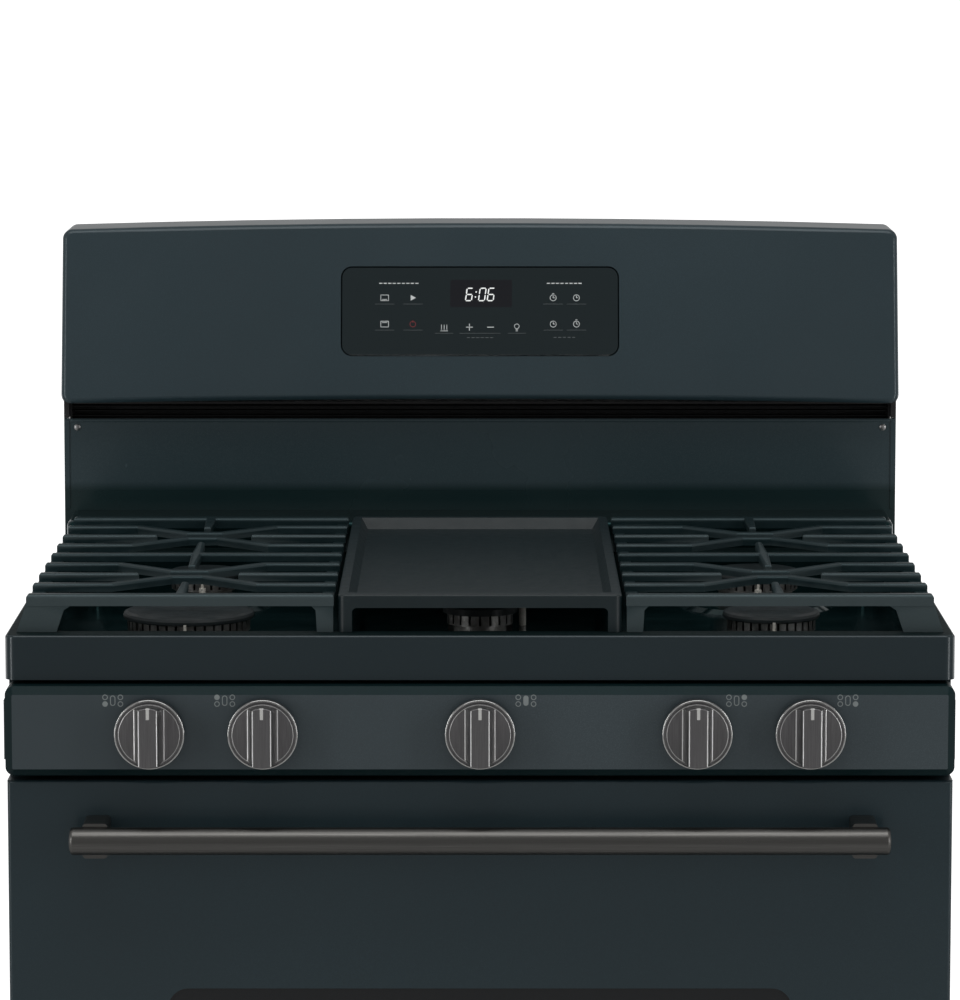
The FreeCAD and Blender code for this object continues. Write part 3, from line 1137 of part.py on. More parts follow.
def make_console():
    """The control console: a hollow crowned shell, the touch glass let into it and the board behind."""
    skin = number("console_skin")
    outer = console_solid(0.0, 0.0)
    slope = number("console_lean / (overall_height - console_bottom)")

    def on_face(edge):
        return all(abs(v.Y - (number(CONSOLE_Y) + (v.Z - number("console_bottom")) * slope)) < 0.05
                   for v in edge.Vertexes)
    outer = outer.makeFillet(number("console_round"), [e for e in outer.Edges if on_face(e)])
    shell = outer.cut(console_solid(skin, 20.0))
    wide, tall, thick = number("glass_wide"), number("glass_tall"), number("console_glass")
    gap = 1.2
    pocket = console_plate(wide + 2 * gap, tall + 2 * gap, skin + 6, 3.0, 9.0 + gap)
    node("console_shell", solid_of("console_shell", shell.cut(pocket)))
    node("control_glass", solid_of("control_glass", console_plate(wide, tall, thick, -0.4, 9.0)))
    board = console_plate(wide - 20, tall - 14, 12.0, -thick - 1.2, 2.0)
    node("display_module", solid_of("display_module", board))


# ---------------------------------------------------------------- writing

def check_document():
    """Stops if a feature failed, or a sub-part isn't a valid closed solid."""
    failed = [o.Label for o in doc.Objects if {"Invalid", "Error"} & set(o.State)]
    if failed:
        raise RuntimeError(f"features failed: {failed}")
    for label, thing in nodes.items():
        shape = thing.Shape
        if shape.isNull() or not shape.isValid() or not shape.Solids:
            raise RuntimeError(f"{label} is not a valid solid")


def write_parts():
    os.makedirs("parts", exist_ok=True)
    for label, thing in nodes.items():
        thing.Shape.exportStep(f"parts/{label}.step")


make_sheet()
gauge = doc.addObject("App::FeaturePython", "gauge")
gauge.addProperty("App::PropertyFloat", "reading")
make_side_panels()
make_rear_panel()
make_rear_screws()
make_base_frame()
make_leveling_legs()
make_front_frame()
make_oven_liner()
make_oven_floor()
make_oven_insulation()
make_oven_burners()
make_oven_lamp()
make_door_gasket()
make_hinge_arms()
make_racks()
make_door()
make_drawer()
make_control_panel()
make_valves_and_stems()
make_gas_manifold()
make_gas_tubes()
make_regulator()
make_knobs()
make_cooktop()
make_burners()
make_igniters()
make_grates()
make_griddle()
make_backsplash()
make_oven_vent()
make_console()
doc.recompute()
check_document()
write_parts()
print(len(nodes), "sub-parts written")
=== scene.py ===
"""Looks for the freestanding gas range: finishes, finer knobs, printed marks, trim and the studio.

Lengths are in metres in the shared frame: X right, Y towards the wall, Z up. Places come from the
CAD nodes' boxes, and MM turns millimetres into metres.
"""

import math

import bmesh
import bpy
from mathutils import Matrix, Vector


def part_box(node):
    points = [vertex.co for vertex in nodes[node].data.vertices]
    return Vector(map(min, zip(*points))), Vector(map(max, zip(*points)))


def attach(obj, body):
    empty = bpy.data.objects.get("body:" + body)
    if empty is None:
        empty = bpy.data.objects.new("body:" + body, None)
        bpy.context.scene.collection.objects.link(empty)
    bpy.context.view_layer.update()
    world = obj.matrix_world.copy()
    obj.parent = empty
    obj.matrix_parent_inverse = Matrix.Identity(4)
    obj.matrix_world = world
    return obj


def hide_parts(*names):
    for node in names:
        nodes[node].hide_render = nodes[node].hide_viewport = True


MM = 0.001

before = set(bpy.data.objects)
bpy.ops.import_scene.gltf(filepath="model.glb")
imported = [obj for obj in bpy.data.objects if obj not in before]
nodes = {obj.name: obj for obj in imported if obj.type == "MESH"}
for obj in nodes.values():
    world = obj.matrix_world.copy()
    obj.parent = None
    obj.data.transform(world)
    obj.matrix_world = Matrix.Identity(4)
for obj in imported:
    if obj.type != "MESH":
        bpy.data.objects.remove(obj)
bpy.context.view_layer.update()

KNOBS = ("left_front", "left_rear", "centre", "right_rear", "right_front")
BURNERS = ("left_front", "left_rear", "right_rear", "right_front", "centre")


# ---------------------------------------------------------------- shader helpers

class Shader:
    """A material's node tree with a Principled shader, and short ways to add detail to it."""

    def __init__(self, name, base, metallic=0.0, roughness=0.5, **sockets):
        self.material = bpy.data.materials.new(name)
        self.material.use_nodes = True
        self.tree = self.material.node_tree
        self.shader = self.tree.nodes["Principled BSDF"]
        self.base = (*base, 1.0)
        self.set("Base Color", self.base)
        self.set("Metallic", metallic)
        self.set("Roughness", roughness)
        for socket, amount in sockets.items():
            self.set(socket.replace("_", " "), amount)
        self.place = self.add("ShaderNodeTexCoord").outputs["Object"]

    def set(self, socket, amount):
        self.shader.inputs[socket].default_value = amount

    def add(self, kind, **settings):
        node = self.tree.nodes.new(kind)
        for key, amount in settings.items():
            setattr(node, key, amount)
        return node

    def link(self, output, target):
        self.tree.links.new(output, target)

    def stretched(self, scale):
        """Coordinates multiplied by a different scale on each axis."""
        mapping = self.add("ShaderNodeMapping")
        mapping.inputs["Scale"].default_value = scale
        self.link(self.place, mapping.inputs["Vector"])
        return mapping.outputs["Vector"]

    def noise(self, scale, detail=2.0, rough=0.5, place=None):
        node = self.add("ShaderNodeTexNoise")
        node.inputs["Scale"].default_value = scale
        node.inputs["Detail"].default_value = detail
        node.inputs["Roughness"].default_value = rough
        self.link(place or self.place, node.inputs["Vector"])
        return node.outputs["Fac"]

    def cells(self, scale):
        node = self.add("ShaderNodeTexVoronoi")
        node.inputs["Scale"].default_value = scale
        self.link(self.place, node.inputs["Vector"])
        return node

    def ranged(self, source, low, high, start=0.3, end=0.7):
        """source between start and end, mapped to low..high."""
        node = self.add("ShaderNodeMapRange")
        for socket, amount in zip(("From Min", "From Max", "To Min", "To Max"), (start, end, low, high)):
            node.inputs[socket].default_value = amount
        self.link(source, node.inputs["Value"])
        return node.outputs["Result"]

    def tint(self, source, shade, start=0.3, end=0.7):
        """Blends the base colour towards shade where source is high."""
        mix = self.add("ShaderNodeMix", data_type="RGBA")
        current = self.shader.inputs["Base Color"]
        if current.links:
            self.link(current.links[0].from_socket, mix.inputs["A"])
        else:
            mix.inputs["A"].default_value = self.base
        mix.inputs["B"].default_value = (*shade, 1.0)
        self.link(self.ranged(source, 0.0, 1.0, start, end), mix.inputs["Factor"])
        self.link(mix.outputs["Result"], current)

    def rough(self, source, low, high, start=0.3, end=0.7):
        self.link(self.ranged(source, low, high, start, end), self.shader.inputs["Roughness"])

    def bump(self, source, depth_mm, strength=1.0):
        """Adds relief of a real depth, on top of any relief already there."""
        node = self.add("ShaderNodeBump")
        node.inputs["Strength"].default_value = strength
        node.inputs["Distance"].default_value = depth_mm * MM
        normal = self.shader.inputs["Normal"]
        if normal.links:
            self.link(normal.links[0].from_socket, node.inputs["Normal"])
        self.link(source, node.inputs["Height"])
        self.link(node.outputs["Normal"], normal)


def slate_paint(name, base, gloss, coat=0.35, specular=0.45):
    """Dark slate paint: fine flake, faint orange peel and a clear coat."""
    made = Shader(name, base, 0.25, gloss, Coat_Weight=coat, Coat_Roughness=0.12,
                  Specular_IOR_Level=specular)
    flake = made.cells(2600.0).outputs["Color"]
    made.tint(flake, tuple(1.7 * c for c in base), 0.55, 1.0)
    made.tint(made.noise(2.2, 3.0), tuple(0.86 * c for c in base))
    made.rough(made.noise(9.0, 4.0), gloss - 0.03, gloss + 0.05)
    made.bump(made.noise(420.0, 1.0), 0.01)
    made.bump(made.noise(2400.0, 1.0), 0.003)
    return made.material


def splash_paint():
    """The splash's slate paint, with a darker band just above the ledge: a painted reflection of the dark
    ledge.
    """
    reflection_full, reflection_end = 18 * MM, 26 * MM
    made = Shader("splash_paint", (0.036, 0.062, 0.072), 0.25, 0.24, Coat_Weight=0.35,
                  Coat_Roughness=0.12, Specular_IOR_Level=0.45)
    made.tint(made.cells(2600.0).outputs["Color"], (0.06, 0.09, 0.1), 0.55, 1.0)
    split = made.add("ShaderNodeSeparateXYZ")
    made.link(made.place, split.inputs["Vector"])
    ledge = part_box("cooktop")[1].z
    # Painted reflection: the base darkens over the bottom of the splash, standing in for the ledge reflected
    # in its gloss.
    made.tint(split.outputs["Z"], (0.008, 0.026, 0.028), ledge + reflection_end, ledge + reflection_full)
    made.rough(made.noise(9.0, 4.0), 0.2, 0.3)
    made.bump(made.noise(420.0, 1.0), 0.01)
    return made.material


def black_enamel(name, base, gloss, tinge=(1.0, 1.0, 1.0, 1.0)):
    """Fired porcelain enamel: deep gloss with a slow ripple and a fine grain. tinge colours its shine."""
    made = Shader(name, base, 0.0, gloss, Coat_Weight=0.12, Coat_Roughness=0.04,
                  Specular_IOR_Level=0.4, Specular_Tint=tinge)
    made.tint(made.noise(6.0, 4.0), tuple(1.5 * c for c in base))
    made.rough(made.noise(30.0, 5.0), gloss - 0.03, gloss + 0.07)
    made.bump(made.noise(55.0, 2.0), 0.03)
    made.bump(made.noise(900.0, 2.0), 0.004)
    return made.material


def cast_iron():
    """Enamelled cast iron: sand-cast grain under a satin skin, with a painted highlight that makes its sharp
    edges paler.
    """
    made = Shader("cast_iron", (0.003, 0.011, 0.0125), 0.0, 0.36, Specular_IOR_Level=0.5,
                  Specular_Tint=(0.6, 0.85, 0.92, 1.0), Coat_Weight=0.1, Coat_Roughness=0.25)
    made.tint(made.noise(14.0, 5.0), (0.008, 0.0185, 0.0215))
    # Painted highlight: the base is lightened where the surface is sharply convex, standing in for light
    # caught on the edges.
    edge_highlight = made.add("ShaderNodeNewGeometry").outputs["Pointiness"]
    made.tint(edge_highlight, (0.046, 0.06, 0.063), 0.52, 0.6)
    made.rough(made.noise(60.0, 5.0), 0.3, 0.48)
    made.bump(made.noise(330.0, 4.0, 0.6), 0.09)
    made.bump(made.noise(1500.0, 2.0), 0.03)
    return made.material


def griddle_skin():
    """The griddle's satin enamel over finely ground iron."""
    made = Shader("griddle_skin", (0.007, 0.0155, 0.0185), 0.0, 0.42, Specular_IOR_Level=0.45)
    made.tint(made.noise(5.0, 2.0), (0.008, 0.0175, 0.0205))
    made.rough(made.noise(90.0, 4.0), 0.38, 0.46)
    made.bump(made.noise(700.0, 3.0), 0.02)
    made.bump(made.noise(2400.0, 1.0), 0.006)
    return made.material


def rim_enamel():
    """The cooktop's level border, etched matt."""
    made = Shader("rim_enamel", (0.004, 0.012, 0.013), 0.0, 0.6, Specular_IOR_Level=0.12)
    made.tint(made.noise(40.0, 3.0), (0.005, 0.014, 0.015))
    made.rough(made.noise(200.0, 3.0), 0.55, 0.68)
    made.bump(made.noise(900.0, 2.0), 0.01)
    return made.material


def burner_enamel():
    """The burner caps' matt enamel."""
    made = Shader("cap_enamel", (0.012, 0.018, 0.02), 0.0, 0.42, Specular_IOR_Level=0.4)
    made.tint(made.noise(40.0, 5.0), (0.018, 0.025, 0.027))
    made.rough(made.noise(90.0, 4.0), 0.34, 0.52)
    made.bump(made.noise(700.0, 3.0), 0.02)
    return made.material


def die_cast():
    """Die-cast aluminium with heat-dulled patches."""
    made = Shader("die_cast", (0.42, 0.42, 0.41), 1.0, 0.38)
    made.tint(made.noise(60.0, 5.0), (0.2, 0.19, 0.18))
    made.tint(made.noise(320.0, 3.0), (0.5, 0.5, 0.49), 0.55, 0.8)
    made.rough(made.noise(150.0, 4.0), 0.3, 0.55)
    made.bump(made.noise(800.0, 3.0), 0.03)
    return made.material


def brushed(name, base, roughness, scale, rough_span=0.1):
    """Brushed steel: grain stretched along one axis. scale is the grain's frequency on each axis."""
    made = Shader(name, base, 1.0, roughness)
    grain = made.noise(1.0, 4.0, 0.7, made.stretched(scale))
    made.tint(grain, tuple(0.72 * c for c in base))
    made.rough(grain, roughness - rough_span / 2, roughness + rough_span)
    made.bump(grain, 0.006)
    return made.material


def galvanised():
    """Hot-dip galvanised sheet, with its crystal spangle."""
    made = Shader("galvanised", (0.42, 0.43, 0.44), 0.9, 0.42)
    spangle = made.cells(85.0)
    made.tint(spangle.outputs["Color"], (0.58, 0.6, 0.61), 0.2, 0.9)
    made.tint(made.noise(5.0, 4.0), (0.33, 0.34, 0.35))
    made.rough(spangle.outputs["Color"], 0.34, 0.52, 0.1, 0.9)
    made.bump(made.noise(260.0, 2.0), 0.01)
    return made.material


def chrome_wire():
    made = Shader("chrome_wire", (0.55, 0.55, 0.56), 1.0, 0.16)
    made.tint(made.noise(12.0, 4.0), (0.42, 0.38, 0.33))
    made.rough(made.noise(50.0, 4.0), 0.12, 0.28)
    return made.material


def polished_rim():
    made = Shader("polished_rim", (0.62, 0.62, 0.61), 1.0, 0.14)
    made.rough(made.noise(300.0, 3.0), 0.1, 0.2)
    made.bump(made.noise(900.0, 2.0), 0.002)
    return made.material


def dark_glass(name, base, roughness=0.06):
    """Back-painted control glass, near mirror-smooth."""
    made = Shader(name, base, 0.0, roughness, Specular_IOR_Level=0.45, Coat_Weight=0.3,
                  Coat_Roughness=0.03)
    made.rough(made.noise(25.0, 5.0), roughness - 0.02, roughness + 0.05)
    made.bump(made.noise(12.0, 1.0), 0.01)
    return made.material


def window_glass():
    """Tinted oven glass that lets a little of the cavity show."""
    made = Shader("window_glass", (0.012, 0.014, 0.016), 0.0, 0.05, Transmission_Weight=0.35, IOR=1.5)
    made.rough(made.noise(20.0, 4.0), 0.03, 0.08)
    return made.material


def woven_seal():
    made = Shader("woven_seal", (0.06, 0.06, 0.062), 0.0, 0.85, Sheen_Weight=0.3)
    weave = made.cells(420.0)
    made.tint(weave.outputs["Distance"], (0.14, 0.14, 0.14), 0.1, 0.7)
    made.bump(weave.outputs["Distance"], 0.25)
    return made.material


def glass_wool():
    made = Shader("glass_wool", (0.62, 0.55, 0.3), 0.0, 0.95, Sheen_Weight=0.4)
    fibres = made.noise(1.0, 5.0, 0.7, made.stretched((60.0, 300.0, 90.0)))
    made.tint(fibres, (0.8, 0.74, 0.5))
    made.bump(fibres, 1.5)
    return made.material


def brass():
    made = Shader("brass", (0.6, 0.43, 0.17), 1.0, 0.32)
    made.tint(made.noise(80.0, 4.0), (0.45, 0.31, 0.13))
    made.rough(made.noise(200.0, 3.0), 0.25, 0.42)
    return made.material


def ceramic():
    made = Shader("ceramic", (0.72, 0.7, 0.64), 0.0, 0.25, Coat_Weight=0.3)
    made.tint(made.noise(300.0, 3.0), (0.5, 0.46, 0.4), 0.55, 0.8)
    made.rough(made.noise(500.0, 3.0), 0.2, 0.35)
    return made.material


def moulded_black():
    made = Shader("moulded_black", (0.012, 0.012, 0.013), 0.0, 0.5)
    made.tint(made.noise(30.0, 3.0), (0.02, 0.02, 0.021))
    made.rough(made.noise(120.0, 4.0), 0.42, 0.6)
    made.bump(made.noise(1100.0, 2.0), 0.03)
    return made.material


def print_ink(name, base, glow=0.0):
    """Screen-printed ink, or a lit display segment where glow is above zero."""
    made = Shader(name, base, 0.0, 0.55)
    if glow:
        made.set("Emission Color", (*base, 1.0))
        made.set("Emission Strength", glow)
    made.tint(made.noise(1800.0, 2.0), tuple(0.8 * c for c in base), 0.55, 0.8)
    return made.material


def pale_floor():
    """The studio's floor: it glows white behind the range and is plain grey under and ahead of it."""
    made = Shader("pale_floor", (0.62, 0.62, 0.62), 0.0, 0.9, Specular_IOR_Level=0.0)
    made.set("Emission Color", (1.0, 1.0, 1.0, 1.0))
    split = made.add("ShaderNodeSeparateXYZ")
    made.link(made.place, split.inputs["Vector"])
    glow = made.ranged(split.outputs["Y"], 0.0, 1.0, GLOW_START, GLOW_FULL)
    made.link(glow, made.shader.inputs["Emission Strength"])
    return made.material


# How far behind the range's middle the floor starts to glow, and where it glows in full.
GLOW_START, GLOW_FULL = 1.0, 2.2
SLATE = (0.019, 0.0365, 0.0445)
TEAL_SHINE = (0.25, 0.75, 0.8, 1.0)
SLATE_PANEL = slate_paint("slate_paint", SLATE, 0.34)
KNOB_PANEL = slate_paint("knob_panel_paint", (0.058, 0.078, 0.088), 0.36)
# A darker copy of the panel paint for the panel's bevel: painted shade.
SHADED_BEVEL_PAINT = slate_paint("bevel_painted_shade", (0.0045, 0.019, 0.0215), 0.5, 0.06, 0.15)
CONSOLE_PAINT = slate_paint("console_paint", (0.0275, 0.05, 0.061), 0.34)
SLATE_BODY = slate_paint("slate_body", tuple(0.8 * c for c in SLATE), 0.42)
SKIRT_PAINT = slate_paint("skirt_paint", tuple(0.8 * c for c in SLATE), 0.3)
SPLASH_PAINT = splash_paint()
ENAMEL = black_enamel("well_enamel", (0.001, 0.0055, 0.006), 0.12, TEAL_SHINE)
OVEN_ENAMEL = black_enamel("oven_enamel", (0.012, 0.013, 0.016), 0.24)
IRON = cast_iron()
GRIDDLE = griddle_skin()
RIM_TOP = rim_enamel()
CAP = burner_enamel()
DIE_CAST = die_cast()
KNOB_STEEL = brushed("knob_steel", (0.25, 0.245, 0.25), 0.36, (900.0, 900.0, 30.0))
# A pale copy of the knob steel: painted highlights on the grip's edges and round the face.
HIGHLIGHT_STEEL = brushed("knob_highlight_steel", (0.9, 0.9, 0.89), 0.34, (900.0, 900.0, 30.0))
HANDLE_STEEL = brushed("handle_steel", (0.16, 0.157, 0.15), 0.3, (12.0, 1400.0, 1400.0))
PLAIN_STEEL = brushed("plain_steel", (0.4, 0.4, 0.4), 0.36, (300.0, 20.0, 300.0))
RIM = polished_rim()
ZINC = galvanised()
WIRE = chrome_wire()
TOUCH_GLASS = dark_glass("touch_glass", (0.0062, 0.0155, 0.0185), 0.1)
WINDOW = window_glass()
SEAL = woven_seal()
WOOL = glass_wool()
BRASS = brass()
CERAMIC = ceramic()
BLACK = moulded_black()
INK = print_ink("grey_ink", (0.27, 0.3, 0.3))
INK_WHITE = print_ink("white_ink", (0.8, 0.83, 0.83))
INK_DIM = print_ink("dim_ink", (0.11, 0.125, 0.13))
INK_RED = print_ink("red_ink", (0.28, 0.03, 0.035))
LIT = print_ink("lit_segment", (0.82, 0.84, 0.83), 0.5)
MARK = print_ink("white_mark", (0.62, 0.62, 0.6))
WINDOW_BLACK = dark_glass("display_black", (0.004, 0.005, 0.009), 0.05)
VENT_BLACK = brushed("vent_black", (0.03, 0.031, 0.032), 0.4, (30.0, 400.0, 400.0))


# ---------------------------------------------------------------- mesh helpers

def finish_mesh(name, bm, material, body, bevel=0.0, smooth=35.0):
    """Makes the bmesh an object that rides on a body, with an optional bevel in millimetres."""
    bmesh.ops.remove_doubles(bm, verts=bm.verts, dist=1e-6)
    bmesh.ops.recalc_face_normals(bm, faces=bm.faces)
    mesh = bpy.data.meshes.new(name)
    bm.to_mesh(mesh)
    bm.free()
    mesh.materials.append(material)
    mesh.shade_smooth()
    mesh.set_sharp_from_angle(angle=math.radians(smooth))
    made = bpy.data.objects.new(name, mesh)
    bpy.context.scene.collection.objects.link(made)
    if bevel:
        round_edges(made, bevel)
    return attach(made, body)


def round_edges(made, width_mm):
    """Rounds the edges that are sharper than 38 degrees."""
    bevel = made.modifiers.new("rounding", "BEVEL")
    bevel.width = width_mm * MM
    bevel.segments = 3
    bevel.limit_method = "ANGLE"
    bevel.angle_limit = math.radians(38)
    bevel.harden_normals = True


def spin(count):
    """Evenly spaced angles round a full turn."""
    return [2 * math.pi * k / count for k in range(count)]


def add_band(bm, a, b):
    """Joins two closed loops of as many vertices with a band of faces."""
    for i in range(len(a)):
        j = (i + 1) % len(a)
        bm.faces.new((a[i], a[j], b[j], b[i]))


def add_prism(bm, outline, place, low, high):
    """A prism on a closed outline. place(u, v, w) turns the outline's plane and height into a point."""
    rings = [[bm.verts.new(place(u, v, level)) for u, v in outline] for level in (low, high)]
    bm.faces.new(rings[0])
    bm.faces.new(rings[1])
    add_band(bm, *rings)


def add_loops(bm, loops):
    """Closes a row of loops into a tube whose last loop meets its first."""
    for a, b in zip(loops, loops[1:] + loops[:1]):
        add_band(bm, a, b)


def add_ring(bm, centre, radii, place, low, high, steps=28, stretch=0.0):
    """A flat washer, or a slot-shaped one where its halves are pulled apart by stretch."""
    inner, outer = radii
    corners = ((inner, low), (inner, high), (outer, high), (outer, low))
    add_loops(bm, [[bm.verts.new(place(u, v, level)) for u, v in circle(centre, radius, steps, stretch)]
                   for radius, level in corners])


def circle(centre, radius, steps=28, stretch=0.0):
    """Points of a circle, or of an upright slot where stretch pulls its halves apart."""
    points = []
    for angle in spin(steps):
        lift = stretch / 2 if math.sin(angle) >= 0 else -stretch / 2
        points.append((centre[0] + radius * math.cos(angle),
                       centre[1] + radius * math.sin(angle) + lift))
    return points


def rectangle(u, v, wide, tall):
    """Corners of a rectangle about (u, v)."""
    return [(u - wide / 2, v - tall / 2), (u + wide / 2, v - tall / 2),
            (u + wide / 2, v + tall / 2), (u - wide / 2, v + tall / 2)]


def round_rectangle(u, v, wide, tall, radius, steps=6):
    """Points of a rectangle about (u, v) with rounded corners."""
    points = []
    for k, (sx, sy) in enumerate(((1, 1), (-1, 1), (-1, -1), (1, -1))):
        for i in range(steps + 1):
            angle = math.pi / 2 * (k + i / steps)
            points.append((u + sx * (wide / 2 - radius) + radius * math.cos(angle),
                           v + sy * (tall / 2 - radius) + radius * math.sin(angle)))
    return points


def lathe(profile, place, steps=96):
    """A closed bmesh of revolution. profile is (radius, height) pairs; place(u, v, w) gives the point."""
    bm = bmesh.new()
    loops = []
    for radius, height in profile:
        if radius < 1e-9:
            loops.append([bm.verts.new(place(0, 0, height))])
            continue
        loops.append([bm.verts.new(place(radius * math.cos(t), radius * math.sin(t), height))
                      for t in spin(steps)])
    for a, b in zip(loops, loops[1:] + loops[:1]):
        if len(a) == len(b) == 1:
            continue
        for i in range(steps):
            j = (i + 1) % steps
            corners = [a[i % len(a)], a[j % len(a)], b[j % len(b)], b[i % len(b)]]
            bm.faces.new(list(dict.fromkeys(corners)))
    return bm


def block(name, low, high, material, body, bevel=0.4):
    """A box between two corners with rounded edges."""
    bm = bmesh.new()
    outline = [(low[0], low[1]), (high[0], low[1]), (high[0], high[1]), (low[0], high[1])]
    add_prism(bm, outline, lambda u, v, w: Vector((u, v, w)), low[2], high[2])
    return finish_mesh(name, bm, material, body, bevel)


# ---------------------------------------------------------------- CAD finishes

def refinish(node, material):
    """Gives a CAD node one material and smooth shading between its sharp edges."""
    mesh = nodes[node].data
    mesh.materials.clear()
    mesh.materials.append(material)
    mesh.shade_smooth()
    mesh.set_sharp_from_angle(angle=math.radians(28))


def refinish_all():
    finishes = {
        SLATE_PANEL: ("door_panel", "drawer_front"),
        CONSOLE_PAINT: ("console_shell",),
        SLATE_BODY: ("side_panel_left", "side_panel_right"),
        SPLASH_PAINT: ("backsplash",),
        OVEN_ENAMEL: ("front_frame", "oven_liner", "oven_floor", "door_liner"),
        IRON: ("grate_left", "grate_right"),
        GRIDDLE: ("griddle",),
        CAP: tuple("burner_cap_" + k for k in BURNERS),
        DIE_CAST: tuple("burner_head_" + k for k in BURNERS) + ("gas_tubes",),
        HANDLE_STEEL: ("door_handle", "handle_mounts"),
        PLAIN_STEEL: ("hinge_arms", "bake_burner", "broil_burner") + tuple("valve_stem_" + k for k in KNOBS),
        ZINC: ("rear_panel", "rear_screws", "base_frame", "drawer_box", "gas_manifold", "gas_regulator",
               "leveling_legs"),
        WIRE: ("rack_lower", "rack_upper"),
        TOUCH_GLASS: ("control_glass",),
        WINDOW: ("door_glass", "door_inner_glass", "oven_lamp"),
        SEAL: ("door_gasket",),
        WOOL: ("oven_insulation",),
        BRASS: ("gas_valves",),
        CERAMIC: ("igniters",),
        BLACK: ("display_module", "oven_vent"),
    }
    for material, names in finishes.items():
        for name in names:
            refinish(name, material)


def finish_panel():
    """The control panel's face keeps its paint; the bevel round it gets a darker, duller copy: painted
    shade.
    """
    refinish("control_panel", KNOB_PANEL)
    mesh = nodes["control_panel"].data
    mesh.materials.append(SHADED_BEVEL_PAINT)
    facing_front = -0.95
    # Faces that do not face straight out, the bevel, take the painted shade.
    for face in mesh.polygons:
        face.material_index = 0 if face.normal.y < facing_front else 1


def finish_cooktop():
    """Slate outside, matt enamel on the level border, gloss inside it; the rounded edge takes the lighter
    slate paint as a painted highlight line.
    """
    skirt_slot, well_slot, border_slot = 0, 1, 2
    refinish("cooktop", SKIRT_PAINT)
    mesh = nodes["cooktop"].data
    mesh.materials.append(ENAMEL)
    mesh.materials.append(RIM_TOP)
    low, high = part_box("cooktop")
    border_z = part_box("grate_left")[0].z - 0.3 * MM
    edge = 2.9 * MM
    # The rounded front and side edges are neither level nor inside, so they get the slate: a painted
    # highlight line.
    for face in mesh.polygons:
        c = face.center
        inside = low.x + edge < c.x < high.x - edge and c.y > low.y + edge
        level = abs(face.normal.z) > 0.9
        if level and abs(c.z - border_z) < 1 * MM:
            face.material_index = border_slot
        else:
            face.material_index = well_slot if inside or level else skirt_slot


# ---------------------------------------------------------------- knobs

def knob_place(name):
    """The knob's rim centre, as a function from (across, up, out) to a point. Out is towards the user."""
    low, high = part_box("knob_" + name)
    x, z, back = (low.x + high.x) / 2, (low.z + high.z) / 2, high.y
    return lambda u, v, w: Vector((x + u, back - w, z + v))


def make_knob_drum(name, place, body, radius, face, inner, rim, skirt):
    """The spun skirt and dished face in place of the CAD knob, and the polished rim on it."""
    groove_floor, rim_foot = skirt - 2.2 * MM, skirt - 2.4 * MM
    profile = [
        (0, 0.4 * MM), (0, skirt - 0.9 * MM), (face * 0.35, skirt - 0.85 * MM),
        (face * 0.7, skirt - 0.55 * MM), (face - 1.1 * MM, skirt - 0.05 * MM),
        (face - 0.5 * MM, skirt + 0.1 * MM), (face - 0.1 * MM, skirt - 0.15 * MM),
        (face, skirt - 0.6 * MM), (face + 0.1 * MM, skirt - 1.5 * MM),
        (inner + 0.2 * MM, skirt - 1.5 * MM), (inner + 0.2 * MM, groove_floor),
        (radius - 0.25 * MM, groove_floor), (radius - 0.2 * MM, 1.2 * MM), (radius - 0.6 * MM, 0.4 * MM),
    ]
    drum = finish_mesh("knob_drum_" + name, lathe(profile, place), KNOB_STEEL, body)
    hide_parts(body)
    crown = 0.75 * MM
    arc = [(inner + rim / 2 + rim / 2 * math.cos(a), skirt - crown + crown * math.sin(a))
           for a in (math.pi * k / 8 for k in range(9))]
    ring = [(radius, rim_foot)] + arc + [(inner, rim_foot)]
    finish_mesh("knob_rim_" + name, lathe(ring, place), RIM, body)


def make_knob_grip(name, place, body, reach, base, wide, foot, top):
    """The bar across the face, from half width base at its foot to wide at its top."""
    steps = 14

    def outline(half):
        upper = [(u, math.sqrt(reach ** 2 - u ** 2))
                 for u in (half * (2 * i / steps - 1) for i in range(steps + 1))]
        return upper + [(u, -v) for u, v in reversed(upper)]
    bm = bmesh.new()
    rings = [[bm.verts.new(place(u, v, w)) for u, v in outline(half)]
             for half, w in ((base, foot), (wide, top))]
    bm.faces.new(rings[0])
    bm.faces.new(rings[1])
    add_band(bm, *rings)
    finish_mesh("knob_grip_" + name, bm, KNOB_STEEL, body, bevel=0.9)


